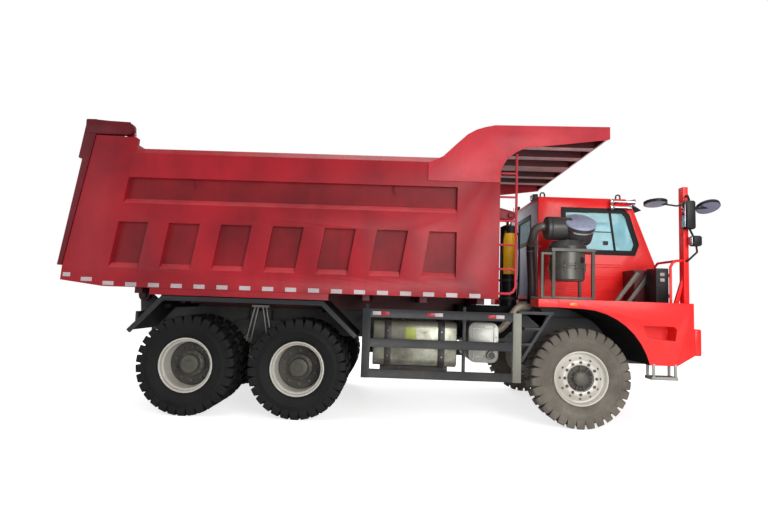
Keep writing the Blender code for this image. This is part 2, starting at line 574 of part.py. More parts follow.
def front_end():
    grille_y = RAIL_INNER_Y - GAP
    grille = box("radiator_grille", (DECK_FRONT_X - 0.12, DECK_FRONT_X - 0.01), (-grille_y, grille_y), (AXLE_Z + 0.25, DECK_Z - 0.01))
    bumper = box("front_bumper", (BUMPER_X, BUMPER_X + 0.10), (-1.45, 1.45), (AXLE_Z + 0.34, AXLE_Z + 0.70))
    bevel = bumper.modifiers.new("edges", "BEVEL")
    bevel.width = 0.015
    bevel.segments = 2
    return [paint(grille, BLACK, 0.5), paint(bumper, RED, 0.35)]


# ---------------------------------------------------------------- cab
SCREEN_TOP = (CAB_NOSE_X - 0.35, CAB_ROOF_Z - 0.12)
SCREEN_BOTTOM = (CAB_NOSE_X, CAB_FLOOR_Z + 0.58)
DOOR_HINGE_X = CAB_NOSE_X - 0.185
DOOR_HINGE_Y = CAB_LEFT_Y + 0.03
DOOR_SILL_Z = CAB_FLOOR_Z + 0.09


def screen_x(z):
    """X of the windscreen's outer face at a height."""
    share = (z - SCREEN_BOTTOM[1]) / (SCREEN_TOP[1] - SCREEN_BOTTOM[1])
    return SCREEN_BOTTOM[0] + share * (SCREEN_TOP[0] - SCREEN_BOTTOM[0])


def cab_outline(inset):
    return [(CAB_REAR_X + inset, CAB_FLOOR_Z + inset), (CAB_REAR_X + inset, CAB_ROOF_Z - inset),
            (SCREEN_TOP[0] - 0.10 - inset * 0.6, CAB_ROOF_Z - inset), (SCREEN_TOP[0] - inset, SCREEN_TOP[1] - inset * 0.6),
            (SCREEN_BOTTOM[0] - inset * 1.07, SCREEN_BOTTOM[1]), (CAB_NOSE_X - 0.03 - inset, CAB_FLOOR_Z + inset)]


def right_window_outline(inset):
    low, high = CAB_FLOOR_Z + 0.76 + inset, CAB_ROOF_Z - 0.20 - inset
    rear, front = CAB_REAR_X + 0.40 + inset, -0.06 - inset
    return [(rear, low), (rear, high), (screen_x(high) - 0.12 + front, high), (screen_x(high - 0.07) - 0.08 + front, high - 0.07),
            (screen_x(low + 0.13) - 0.11 + front, low + 0.13), (screen_x(low) - 0.21 + front, low)]


def door_outline(inset):
    slant_z = SCREEN_BOTTOM[1] + 0.09
    front = DOOR_HINGE_X - 0.02 - inset
    top = CAB_ROOF_Z - 0.14 - inset
    return [(CAB_REAR_X + 0.44 + inset, DOOR_SILL_Z + inset), (CAB_REAR_X + 0.44 + inset, top),
            (screen_x(top) - 0.16 - inset, top), (front, slant_z), (front, DOOR_SILL_Z + inset)]


def door_window_outline(inset):
    low, high = CAB_FLOOR_Z + 0.78 + inset, CAB_ROOF_Z - 0.24 - inset
    rear = CAB_REAR_X + 0.53 + inset
    return [(rear, low), (rear, high), (screen_x(high) - 0.26 - inset, high), (screen_x(low) - 0.26 - inset, low)]


def screen_block(inset, depth):
    """Outline across the windscreen's wall, for the opening and for the glass."""
    low, high = SCREEN_BOTTOM[1] + 0.10 + inset, SCREEN_TOP[1] - 0.08 - inset
    return [(screen_x(low) - depth[0], low), (screen_x(low) - depth[1], low),
            (screen_x(high) - depth[1], high), (screen_x(high) - depth[0], high)]


REAR_WINDOW_Y = (CAB_RIGHT_Y + 0.43, CAB_RIGHT_Y + 1.20)
REAR_WINDOW_Z = (CAB_FLOOR_Z + 0.93, CAB_FLOOR_Z + 1.35)
SCREEN_Y = (CAB_RIGHT_Y + 0.12, CAB_LEFT_Y - 0.12)


def hinge_lug(name, z, inward):
    """One knuckle of the cab door's hinge and the small plate that carries it."""
    lug = cylinder(name, (DOOR_HINGE_X, DOOR_HINGE_Y, z), 0.022, 0.06 - GAP, sides=12)
    end_x = DOOR_HINGE_X + inward * 0.05
    plate = box(name, (DOOR_HINGE_X, end_x), (CAB_LEFT_Y + 0.004, DOOR_HINGE_Y + 0.01), (z - 0.025, z + 0.025))
    root = box(name, (end_x - inward * 0.02, end_x), (CAB_LEFT_Y - 0.02, DOOR_HINGE_Y), (z - 0.022, z + 0.022))
    return [lug, plate, root]


HINGE_HEIGHTS = (DOOR_SILL_Z + 0.10, DOOR_SILL_Z + 0.42)


def cab():
    """Hollow cab with its windows and door cut, its glass, and what shows inside."""
    walls = outline_solid("walls", cab_outline(0), CAB_RIGHT_Y, CAB_LEFT_Y)
    lugs = [piece for z in HINGE_HEIGHTS for piece in hinge_lug("shell_lug", z, 1)]
    hollow = outline_solid("hollow", cab_outline(CAB_WALL), CAB_RIGHT_Y + CAB_WALL, CAB_LEFT_Y - CAB_WALL)
    side_hole = outline_solid("side_hole", right_window_outline(0), CAB_RIGHT_Y - 0.1, CAB_RIGHT_Y + 0.1)
    door_hole = outline_solid("door_hole", door_outline(0), CAB_LEFT_Y - 0.1, CAB_LEFT_Y + 0.001)
    rear_hole = box("rear_hole", (CAB_REAR_X - 0.1, CAB_REAR_X + 0.1), REAR_WINDOW_Y, REAR_WINDOW_Z)
    screen_hole = outline_solid("screen_hole", screen_block(0, (-0.1, 0.12)), *SCREEN_Y)
    shell = cut(join("cab_shell", [walls] + lugs), [hollow, side_hole, door_hole, rear_hole, screen_hole])
    glass_y = [y + sign * GAP for y, sign in zip(SCREEN_Y, (1, -1))]
    windscreen = outline_solid("windscreen", screen_block(GAP, (0.010, 0.018)), *glass_y)
    right_window = outline_solid("right_window", right_window_outline(GAP), CAB_RIGHT_Y + 0.010, CAB_RIGHT_Y + 0.018)
    window_y = [y + sign * GAP for y, sign in zip(REAR_WINDOW_Y, (1, -1))]
    window_z = [z + sign * GAP for z, sign in zip(REAR_WINDOW_Z, (1, -1))]
    rear_window = box("rear_window", (CAB_REAR_X + 0.010, CAB_REAR_X + 0.018), window_y, window_z)
    glass = [paint(pane, GLASS_GREEN, 0.05) for pane in (windscreen, right_window, rear_window)]
    return [paint(shell, RED, 0.3)] + glass


def cab_inside():
    """Driver's seat, and the dashboard with its column and steering wheel."""
    floor_z = CAB_FLOOR_Z + CAB_WALL + GAP
    driver_y = CAB_RIGHT_Y + 0.62 * CAB_WIDTH
    seat_x = CAB_REAR_X + 0.75
    seat = [box("base", (seat_x - 0.18, seat_x + 0.18), (driver_y - 0.18, driver_y + 0.18), (floor_z, floor_z + 0.30)),
            box("cushion", (seat_x - 0.25, seat_x + 0.27), (driver_y - 0.26, driver_y + 0.26), (floor_z + 0.28, floor_z + 0.43)),
            outline_solid("back", [(seat_x - 0.15, floor_z + 0.35), (seat_x - 0.30, floor_z + 1.10), (seat_x - 0.40, floor_z + 1.08),
                                   (seat_x - 0.27, floor_z + 0.35)], driver_y - 0.25, driver_y + 0.25)]
    nose = CAB_NOSE_X - 0.03 - CAB_WALL - 0.012
    desk = [(nose, floor_z), (nose + 0.02, floor_z + 0.50), (nose - 0.05, floor_z + 0.62), (nose - 0.38, floor_z + 0.66),
            (nose - 0.42, floor_z + 0.45), (nose - 0.18, floor_z + 0.35), (nose - 0.18, floor_z)]
    desk_y = (CAB_RIGHT_Y + CAB_WALL + 0.02, CAB_LEFT_Y - CAB_WALL - 0.02)
    dash = outline_solid("desk", desk, *desk_y)
    column = tube("column", [(nose - 0.25, driver_y, floor_z + 0.45), (nose - 0.52, driver_y, floor_z + 0.80)], 0.03)
    ring = circle((0, 0), 0.23, 20)
    wheel = outline_solid("wheel", ring, -0.018, 0.018, holes=[circle((0, 0), 0.19, 20)], plane="xy")
    hub = box("hub", (-0.205, 0.205), (-0.025, 0.025), (-0.012, 0.012))
    lean = Matrix.Translation((nose - 0.52, driver_y, floor_z + 0.80)) @ Matrix.Rotation(math.radians(-38), 4, "Y")
    for piece in (wheel, hub):
        piece.matrix_world = lean @ piece.matrix_world
    return [paint(join("seat", seat), BLACK, 0.8), paint(join("dashboard", [dash, column, wheel, hub]), BLACK, 0.7)]


def cab_door():
    """Left door, as thick as the wall, with its glass and its half of each hinge."""
    panel = outline_solid("panel", door_outline(RUNNING_GAP), CAB_LEFT_Y - CAB_WALL, CAB_LEFT_Y, holes=[door_window_outline(0)])
    lugs = [piece for z in HINGE_HEIGHTS for piece in hinge_lug("door_lug", z + 0.06, -1)]
    door = paint(join("cab_door", [panel] + lugs), RED, 0.3)
    glass = outline_solid("door_glass", door_window_outline(GAP), CAB_LEFT_Y - 0.030, CAB_LEFT_Y - 0.022)
    return [door, paint(glass, GLASS_GREEN, 0.05)]


# ---------------------------------------------------------------- deck equipment
FILTER_X = FRONT_AXLE_X - 0.09
FILTER_Y = -1.28
FILTER_RADIUS = 0.24
STAND_X = (FRONT_AXLE_X - 0.38, FRONT_AXLE_X + 0.20)
STAND_Y = (-1.54, -1.02)
SHELF_Z = DECK_Z + 0.66
POST = 0.04


def filter_stand():
    """Square-tube stand with a top shelf, and the narrow bay behind it."""
    pieces = []
    for x in (STAND_X[0], STAND_X[1] - POST):
        for y in (STAND_Y[0], STAND_Y[1] - POST):
            pieces.append(box("post", (x, x + POST), (y, y + POST), (DECK_Z + GAP, SHELF_Z + 0.01)))
    shelf_x = (STAND_X[0] - 0.01, STAND_X[1] + 0.01)
    pieces.append(box("shelf", shelf_x, (STAND_Y[0] - 0.01, STAND_Y[1] + 0.01), (SHELF_Z, SHELF_Z + 0.04)))
    for y in (STAND_Y[0], STAND_Y[1] - POST):
        sill_y = (y + 0.004, y + POST - 0.004)
        pieces.append(box("sill", (STAND_X[0] - 0.15, STAND_X[1]), sill_y, (DECK_Z + 0.002, DECK_Z + 0.035)))
    bay_y = (STAND_Y[0] + 0.005, STAND_Y[0] + POST - 0.005)
    bay_x = (STAND_X[0] - 0.15, STAND_X[0] - 0.12)
    pieces.append(box("bay_post", bay_x, bay_y, (DECK_Z + 0.003, SHELF_Z - 0.02)))
    pieces.append(box("bay_top", (bay_x[0], STAND_X[0] + 0.02), bay_y, (SHELF_Z - 0.05, SHELF_Z - 0.02)))
    return [paint(join("filter_stand", pieces), KHAKI_GREY, 0.5, 0.3)]


def air_filter():
    top, low = SHELF_Z - GAP, SHELF_Z - 0.40
    r = FILTER_RADIUS
    band = SHELF_Z - 0.20
    profile = [(0, top), (r, top), (r, band + 0.02), (r + 0.012, band + 0.02), (r + 0.012, band - 0.02), (r, band - 0.02),
               (r - 0.01, low + 0.02), (r - 0.03, low), (0, low)]
    return [paint(lathe("air_filter", profile, (FILTER_X, FILTER_Y, 0), steps=24, upright=True), KHAKI_GREY, 0.4, 0.5)]


def precleaner():
    """Collar on the shelf, a lying drum, and the tilted intake drum with its flat lid."""
    base = SHELF_Z + 0.04 + GAP
    collar = lathe("collar", [(0, base + 0.13), (0.20, base + 0.13), (0.262, base + 0.045), (0.262, base), (0, base)],
                   (FILTER_X, FILTER_Y, 0), steps=24, upright=True)
    lying = cylinder("lying_drum", (FILTER_X - 0.14, FILTER_Y, base + 0.31), 0.165, 0.34, "X", 24)
    tilted = cylinder("tilted_drum", (0, 0, 0), 0.215, 0.30, "Z", 24)
    tilt = Matrix.Rotation(math.radians(38), 4, "X")
    tilted.matrix_world = Matrix.Translation((FILTER_X + 0.14, FILTER_Y - 0.04, base + 0.29)) @ tilt
    neck = cylinder("neck", (FILTER_X, FILTER_Y, base + 0.20), 0.16, 0.16, "Z", 16)
    return [paint(join("precleaner", [collar, lying, tilted, neck]), KHAKI_GREY, 0.4, 0.5)]


def intake_hose():
    """Pipe from the lying drum, down beside the deck and in to the engine."""
    high = SHELF_Z + 0.37
    drum_end = FILTER_X - 0.14 - 0.17 - GAP
    x = FRONT_AXLE_X - 0.51
    low = DECK_Z - 0.20
    route = [(drum_end, FILTER_Y, high), (drum_end - 0.09, FILTER_Y, high), (x - 0.02, FILTER_Y + 0.05, high - 0.05)]
    route += [(x - 0.03, FILTER_Y + 0.11, high - 0.13), (x - 0.02, FILTER_Y + 0.27, high - 0.23), (x, -0.94, high - 0.40)]
    route += [(x + 0.02, -0.94, DECK_Z + 0.20), (x + 0.03, -0.88, DECK_Z - 0.08), (x + 0.05, -0.79, DECK_Z - 0.17)]
    route += [(x + 0.12, -0.64, low), (x + 0.24, -0.52, low), (x + 0.24, -0.38 - GAP, low)]
    return [paint(tube("intake_hose", route, 0.058, 10), BLACK, 0.6)]


HOOD_X = (FRONT_AXLE_X + 1.03, FRONT_AXLE_X + 1.40)
HOOD_Y = (-0.92, CAB_RIGHT_Y - GAP)


def deck_boxes():
    """Control cabinet at the deck's front, the hood panel beside the cab and its two stays."""
    cabinet = box("control_cabinet", (FRONT_AXLE_X + 1.17, FRONT_AXLE_X + 1.35), (-1.27, -1.0), (DECK_Z + GAP, DECK_Z + 0.49))
    hood = box("hood_panel", HOOD_X, HOOD_Y, (DECK_Z + GAP, DECK_Z + 0.48))
    pieces = []
    for low, high in ((FRONT_AXLE_X + 0.74, FRONT_AXLE_X + 1.07), (FRONT_AXLE_X + 0.92, FRONT_AXLE_X + 1.25)):
        stay = [(low - 0.02, DECK_Z + GAP), (low + 0.04, DECK_Z + GAP), (high + 0.04, DECK_Z + 0.42), (high - 0.02, DECK_Z + 0.45)]
        pieces.append(outline_solid("stay", stay, HOOD_Y[0] - 0.04, HOOD_Y[0] - GAP))
    foot_x = (FRONT_AXLE_X + 0.70, FRONT_AXLE_X + 1.0)
    foot = box("foot", foot_x, (HOOD_Y[0] - 0.045, HOOD_Y[0] - 0.002), (DECK_Z + GAP, DECK_Z + 0.015))
    return [paint(cabinet, BLACK, 0.4), paint(hood, DARK_RED, 0.4), paint(join("hood_stays", [foot] + pieces), KHAKI_GREY, 0.5, 0.3)]


MIRROR_POST_X = (FRONT_AXLE_X + 1.42, FRONT_AXLE_X + 1.49)
MIRROR_POST_Y = (-1.52, -1.41)


def deck_rails():
    """Red mirror post with its brace, the side handrail and the front rail."""
    top = DECK_Z + 0.58
    post = box("post", (MIRROR_POST_X[0], MIRROR_POST_X[1]), MIRROR_POST_Y, (DECK_Z + GAP, DECK_Z + 1.61))
    middle_y = (MIRROR_POST_Y[0] + MIRROR_POST_Y[1]) / 2
    brace_x = MIRROR_POST_X[0]
    brace = outline_solid("brace", [(brace_x - 0.11, DECK_Z + GAP), (brace_x - 0.05, DECK_Z + GAP), (brace_x + 0.02, DECK_Z + 0.32),
                                    (brace_x + 0.02, DECK_Z + 0.42)], middle_y - 0.02, middle_y + 0.02)
    side_rail = tube("side_rail", [(brace_x - 0.17, middle_y - 0.03, DECK_Z + GAP), (brace_x - 0.17, middle_y - 0.03, top - 0.09),
                                   (brace_x - 0.14, middle_y - 0.03, top - 0.03), (brace_x - 0.09, middle_y - 0.03, top),
                                   (brace_x + 0.04, middle_y - 0.02, top + 0.01)], 0.019)
    front_x = brace_x + 0.035
    front_rail = tube("front_rail", [(front_x, middle_y, top + 0.02), (front_x, -0.78, top + 0.02), (front_x, -0.71, top - 0.02),
                                     (front_x, -0.68, top - 0.10), (front_x, -0.68, DECK_Z + GAP)], 0.019)
    return [paint(join("deck_rails", [post, brace, side_rail, front_rail]), RED, 0.35)]


def mirror_head(side, x, z):
    """One mirror's shell, outboard of the post."""
    head = box("mirror_head", x, (side * (DECK_HALF_WIDTH - 0.07), side * (DECK_HALF_WIDTH + 0.05)), z)
    bevel = head.modifiers.new("edges", "BEVEL")
    bevel.width = 0.02
    bevel.segments = 1
    return head


def round_mirror(side, x, z, tilt):
    disc = cylinder("round_mirror", (0, 0, 0), 0.15, 0.04, "Z", 20)
    place = Matrix.Translation((x, side * (DECK_HALF_WIDTH - 0.11), z))
    disc.matrix_world = place @ Matrix.Rotation(math.radians(side * tilt), 4, "X")
    return disc


def mirrors(side):
    """Main, wide-angle and round mirrors on their bent arms: on the post at the right, on the cab at the left."""
    x = FRONT_AXLE_X + (1.52 if side == LEFT else 1.455)
    y = side * DECK_HALF_WIDTH
    z = DECK_Z
    if side == RIGHT:
        face_y = MIRROR_POST_Y[0] - GAP
        first = [(x, face_y, z + 0.58), (x, face_y - 0.03, z + 0.58)]
        last = [(x, y + 0.03, z + 1.48), (x, face_y, z + 1.48)]
    else:
        first = [(CAB_NOSE_X + GAP, y - 0.06, SCREEN_BOTTOM[1]), (CAB_NOSE_X + 0.03, y - 0.06, SCREEN_BOTTOM[1])]
        last = [(x - 0.03, y, z + 1.46), (x - 0.12, y - 0.03, z + 1.48)]
    middle = [(x + 0.10, y, z + 0.70), (x + 0.08, y, z + 0.85), (x, y, z + 1.02), (x, y, z + 1.42)]
    pieces = [tube("arm", first + middle + last, 0.014)]
    pieces.append(mirror_head(side, (x - 0.07, x + 0.07), (z + 1.01, z + 1.40)))
    pieces.append(mirror_head(side, (x + 0.02, x + 0.15), (z + 0.78, z + 0.92)))
    disc_y = side * (DECK_HALF_WIDTH - 0.11)
    front_x = FRONT_AXLE_X + 1.78
    pieces.append(tube("front_arm", [(x + 0.03, y, z + 1.30), (x + 0.15, y - side * 0.05, z + 1.31), (front_x, disc_y, z + 1.335)], 0.012))
    pieces.append(round_mirror(side, front_x, z + 1.35, 25))
    if side == RIGHT:
        pieces.append(tube("rear_arm", [(x - 0.04, y, z + 1.36), (x - 0.15, y + 0.03, z + 1.33), (x - 0.38, disc_y, z + 1.38)], 0.012))
        pieces.append(round_mirror(side, x - 0.40, z + 1.38, 8))
    return [paint(join(f"mirrors_{side_name(side)}", pieces), BLACK, 0.4)]


# ---------------------------------------------------------------- bed
POST_TOP_X = (REAR_AXLE_X - 1.43, REAR_AXLE_X - 0.87)
POST_LOW_X = (BED_TAIL_X + 0.01, REAR_AXLE_X - 1.19)
FRONT_POST_X = BED_FRONT_X - 0.58
LOWER_POCKET_Z = (BED_BOTTOM_Z + 0.26, BED_BOTTOM_Z + 0.89)
UPPER_POCKET_Z = (BED_BOTTOM_Z + 1.15, BED_BOTTOM_Z + 1.51)
POST_TOP_Z = BED_RIM_Z + 0.16
TAIL_RISE = 0.07


def post_front_x(z):
    """The rear corner post leans back towards its foot."""
    share = (z - BED_BOTTOM_Z) / (BED_RIM_Z - BED_BOTTOM_Z)
    return POST_LOW_X[1] + share * (POST_TOP_X[0] + 0.54 - POST_LOW_X[1])


def post_rear_x(z):
    share = (z - BED_BOTTOM_Z - 0.25) / (POST_TOP_Z - BED_BOTTOM_Z - 0.25)
    return POST_LOW_X[0] + share * (POST_TOP_X[0] - POST_LOW_X[0])


def bed_side(side):
    """Side panel with its top rail, corner posts, leaning ribs and the recesses between them."""
    outline = [(BED_FRONT_X, BED_BOTTOM_Z), (BED_FRONT_X, BED_RIM_Z - 0.08), (POST_TOP_X[1] - 0.02, BED_RIM_Z - 0.08),
               (POST_TOP_X[1], POST_TOP_Z - 0.02), (POST_TOP_X[0], POST_TOP_Z), (POST_LOW_X[0], BED_BOTTOM_Z + 0.25),
               (BED_TAIL_X, BED_BOTTOM_Z + TAIL_RISE), (POST_LOW_X[1], BED_BOTTOM_Z)]
    panel = outline_solid("panel", outline, side * SIDE_INNER_Y, side * SIDE_OUTER_Y)
    cap_y = (side * (SIDE_INNER_Y + 0.001), side * (SIDE_OUTER_Y - 0.001))
    cap = [(cap_y[1], BED_RIM_Z - 0.11), (cap_y[1], BED_RIM_Z - 0.08), (side * (SIDE_OUTER_Y - 0.06), BED_RIM_Z),
           (cap_y[0], BED_RIM_Z), (cap_y[0], BED_RIM_Z - 0.11)]
    rim = outline_solid("rim", cap, POST_TOP_X[1] - 0.15, BED_FRONT_X - 0.001, plane="yz")
    sill_x = (REAR_AXLE_X - 0.55, MIDDLE_AXLE_X + 0.38)
    sill = box("sill", sill_x, (side * (SIDE_OUTER_Y - 0.06), side * (SIDE_OUTER_Y - 0.02)), (BED_BOTTOM_Z - 0.09, BED_BOTTOM_Z + 0.02))
    ear_y = (side * (SIDE_INNER_Y - 0.05), side * (SIDE_INNER_Y + 0.02))
    ear = arc((GATE_HINGE_X, GATE_HINGE_Z), 0.045, 0, 180, 7) + [(GATE_HINGE_X - 0.06, BED_RIM_Z - 0.12), (GATE_HINGE_X + 0.06, BED_RIM_Z - 0.12)]
    gate_ear = outline_solid("gate_ear", ear, *ear_y)
    pin_y = side * (SIDE_INNER_Y + SIDE_OUTER_Y - 0.04) / 2
    gate_pin = cylinder("gate_pin", (GATE_HINGE_X, pin_y, GATE_HINGE_Z), 0.022, BED_WALL + 0.02, "Y", 16)
    cutters = []
    cutter_y = (side * (SIDE_OUTER_Y - POCKET_DEPTH), side * (SIDE_OUTER_Y + 0.02))
    low, high = LOWER_POCKET_Z
    first = post_front_x(high) + 0.425
    last = FRONT_POST_X - 0.37 - RIB_WIDTH
    pitch = (last - first) / (RIB_COUNT - 1)
    edges = [(post_front_x(low) + 0.02, post_front_x(high) + 0.02)]
    for index in range(RIB_COUNT):
        top_left = first + index * pitch
        edges += [(top_left - RIB_LEAN, top_left), (top_left + RIB_WIDTH - RIB_LEAN, top_left + RIB_WIDTH)]
    edges.append((FRONT_POST_X, FRONT_POST_X))
    for left, right in zip(edges[::2], edges[1::2]):
        pocket = [(left[0], low), (right[0], low), (right[1], high), (left[1], high)]
        cutters.append(outline_solid("pocket", pocket, *cutter_y))
    low, high = UPPER_POCKET_Z
    upper = [(post_front_x(low) + 0.02, low), (FRONT_POST_X, low), (FRONT_POST_X, high), (post_front_x(high) + 0.02, high)]
    cutters.append(outline_solid("pocket", upper, *cutter_y))
    solid = join(f"bed_side_{side_name(side)}", [panel, rim, sill, gate_ear, gate_pin])
    return paint(cut(solid, cutters), RED, 0.4)


def bed_floor():
    """Floor plate with its bearers, and the ears that turn on the chassis pins."""
    top = BED_BOTTOM_Z + 0.05
    under = BED_BOTTOM_Z + 0.01
    front = BED_FRONT_X - 0.07 - GAP
    plate = [(front, under), (front, top), (POST_LOW_X[1], top), (BED_TAIL_X + 0.01, top + TAIL_RISE),
             (BED_TAIL_X + 0.01, under + TAIL_RISE), (POST_LOW_X[1], under)]
    half = SIDE_INNER_Y - GAP
    pieces = [outline_solid("plate", plate, -half, half)]
    for side in (RIGHT, LEFT):
        bearer_y = (side * (RAIL_INNER_Y - 0.01), side * (RAIL_OUTER_Y - 0.03))
        pieces.append(box("bearer", (PIVOT_X + 0.20, front - 0.03), bearer_y, (RAIL_TOP_Z + GAP, under + 0.02)))
        ear = arc((PIVOT_X, PIVOT_Z), EAR_RADIUS, 180, 360, 9) + [(PIVOT_X + EAR_RADIUS, under + 0.02), (PIVOT_X - EAR_RADIUS, under + 0.02)]
        bore = circle((PIVOT_X, PIVOT_Z), PIVOT_PIN_RADIUS + 0.003, 20)
        pieces.append(outline_solid("ear", ear, *[side * y for y in BED_EAR_Y], holes=[bore]))
    count = 7
    for index in range(count):
        x = PIVOT_X + 0.35 + (front - 0.15 - PIVOT_X - 0.35) * index / (count - 1)
        pieces.append(box("cross_bearer", (x - 0.05, x + 0.05), (-half + 0.01, half - 0.01), (BED_BOTTOM_Z - 0.08, under + 0.02)))
    return paint(join("bed_floor", pieces), DARK_RED, 0.5)


CANOPY_Z = BED_RIM_Z + CANOPY_RISE
HOIST_EAR_Y = (0.065, 0.10)


def bed_front_wall():
    """Front wall up to the canopy, with stiffeners and the bracket that the hoist pushes on."""
    half = SIDE_INNER_Y - GAP
    wall_x = (BED_FRONT_X - 0.07, BED_FRONT_X)
    wall_z = (BED_BOTTOM_Z + 0.01, CANOPY_Z - 0.03 - GAP)
    outline = [(wall_x[0], wall_z[0]), (wall_x[1] - 0.04, wall_z[0]), (wall_x[1], wall_z[0] + 0.08), (wall_x[1], wall_z[1]),
               (wall_x[0], wall_z[1])]
    pieces = [outline_solid("wall", outline, -half, half)]
    for y in (-1.25, -0.75, -0.28, 0.28, 0.75, 1.25):
        pieces.append(box("stiffener", (BED_FRONT_X - 0.01, BED_FRONT_X + 0.05), (y - 0.06, y + 0.06), (BED_BOTTOM_Z + 0.10, CANOPY_Z - 0.20)))
    for side in (RIGHT, LEFT):
        ear = arc((HOIST_X, HOIST_EYE_Z), 0.085, -90, 90, 7) + [(BED_FRONT_X - 0.02, HOIST_EYE_Z + 0.22), (BED_FRONT_X - 0.02, HOIST_EYE_Z - 0.04)]
        pieces.append(outline_solid("hoist_ear", ear, *[side * y for y in HOIST_EAR_Y]))
        stub_y = side * (HOIST_EAR_Y[1] + 0.02)
        pieces.append(cylinder("pin_head", (HOIST_X, stub_y, HOIST_EYE_Z), 0.045, 0.06, "Y", 16))
    return paint(join("bed_front_wall", pieces), RED, 0.4)


def canopy():
    """Rock canopy over the cab: roof plate, two side plates, front lip and the ribs below."""
    roof_front = BED_FRONT_X + CANOPY_REACH
    side_top = [(BED_FRONT_X - 0.79, BED_RIM_Z + 0.003), (BED_FRONT_X - 0.63, BED_RIM_Z + 0.16), (BED_FRONT_X - 0.46, CANOPY_Z - 0.14),
                (BED_FRONT_X - 0.34, CANOPY_Z - 0.07), (BED_FRONT_X - 0.22, CANOPY_Z - 0.03), (BED_FRONT_X - 0.08, CANOPY_Z)]
    front = [(roof_front, CANOPY_Z + 0.02), (roof_front, CANOPY_Z - 0.15)]
    skirt = [(roof_front - 0.03, CANOPY_Z - 0.16), (BED_FRONT_X + 0.42, CANOPY_Z - 0.30), (BED_FRONT_X + 0.31, CANOPY_Z - 0.32),
             (BED_FRONT_X + 0.21, CANOPY_Z - 0.37), (BED_FRONT_X + 0.10, CANOPY_Z - 0.46), (BED_FRONT_X + 0.04, CANOPY_Z - 0.55),
             (BED_FRONT_X, CANOPY_Z - 0.66), (BED_FRONT_X, CANOPY_Z - 0.80), (BED_FRONT_X - 0.99, CANOPY_Z - 0.80),
             (BED_FRONT_X - 0.99, BED_RIM_Z - 0.09)]
    pieces = []
    for side in (RIGHT, LEFT):
        plate_y = (side * (SIDE_OUTER_Y + GAP), side * BED_HALF_WIDTH)
        pieces.append(outline_solid("side_plate", side_top + front + skirt, *plate_y))
    half = SIDE_OUTER_Y + 0.005
    roof = [(BED_FRONT_X - 0.08, CANOPY_Z - 0.03), (BED_FRONT_X - 0.08, CANOPY_Z - 0.004), (roof_front - 0.002, CANOPY_Z + 0.016),
            (roof_front - 0.002, CANOPY_Z - 0.02)]
    pieces.append(outline_solid("roof", roof, -half, half))
    pieces.append(box("lip", (roof_front - 0.03, roof_front - 0.004), (-half, half), (CANOPY_Z - 0.14, CANOPY_Z)))
    for y, width in ((-1.12, 0.15), (-0.60, 0.17), (0.03, 0.32), (0.63, 0.15), (1.12, 0.15)):
        rib_x = (BED_FRONT_X + 0.05 + GAP, roof_front - 0.02)
        pieces.append(box("rib", rib_x, (y - width / 2, y + width / 2), (CANOPY_Z - 0.14, CANOPY_Z - 0.015)))
    return paint(join("canopy", pieces), RED, 0.4)


def bed_ladder():
    """Rungs on the bed's front right corner, with one bent outer stile."""
    y = -(BED_HALF_WIDTH - 0.05)
    x = BED_FRONT_X + 0.23
    wall = BED_FRONT_X + GAP
    foot = BED_BOTTOM_Z + 0.08
    skirt_z = CANOPY_Z - 0.385
    stile = tube("stile", [(x, y, skirt_z), (x, y, foot + 0.09), (x - 0.03, y, foot + 0.03), (x - 0.08, y, foot), (wall, y, foot)], 0.018)
    rungs = [tube("rung", [(wall, y, foot + 0.33 * step), (x, y, foot + 0.33 * step)], 0.015) for step in range(1, 6)]
    return paint(join("bed_ladder", [stile] + rungs), RED, 0.4)


def tailgate():
    """Top-hung gate behind the rear posts, with the beam and the arms that carry it."""
    low, shoulder = BED_BOTTOM_Z + 0.27, BED_BOTTOM_Z + 1.76
    beam_top = BED_RIM_Z + 0.38
    clear = RUNNING_GAP + 0.002
    inner_low, inner_high = post_rear_x(low) - clear, post_rear_x(shoulder) - clear
    inner_top = POST_TOP_X[0] - clear
    plate = [(inner_low, low), (inner_low - 0.06, low), (inner_high - 0.10, shoulder), (inner_high - 0.155, shoulder),
             (POST_TOP_X[0] - 0.14, beam_top), (inner_top, beam_top), (inner_top, POST_TOP_Z)]
    half = BED_HALF_WIDTH - 0.005
    pieces = [outline_solid("plate", plate, -half, half)]
    for side in (RIGHT, LEFT):
        arm = [(inner_top - 0.05, beam_top - 0.001), (GATE_HINGE_X - 0.02, GATE_HINGE_Z + 0.083)]
        arm += arc((GATE_HINGE_X, GATE_HINGE_Z), 0.085, 80, -90, 9)
        arm += [(inner_top - 0.05, GATE_HINGE_Z - 0.085)]
        arm_y = (side * (SIDE_INNER_Y + 0.03), side * half)
        bore = circle((GATE_HINGE_X, GATE_HINGE_Z), 0.025, 16)
        pieces.append(outline_solid("arm", arm, *arm_y, holes=[bore]))
    return paint(join("tailgate", pieces), RED, 0.4)


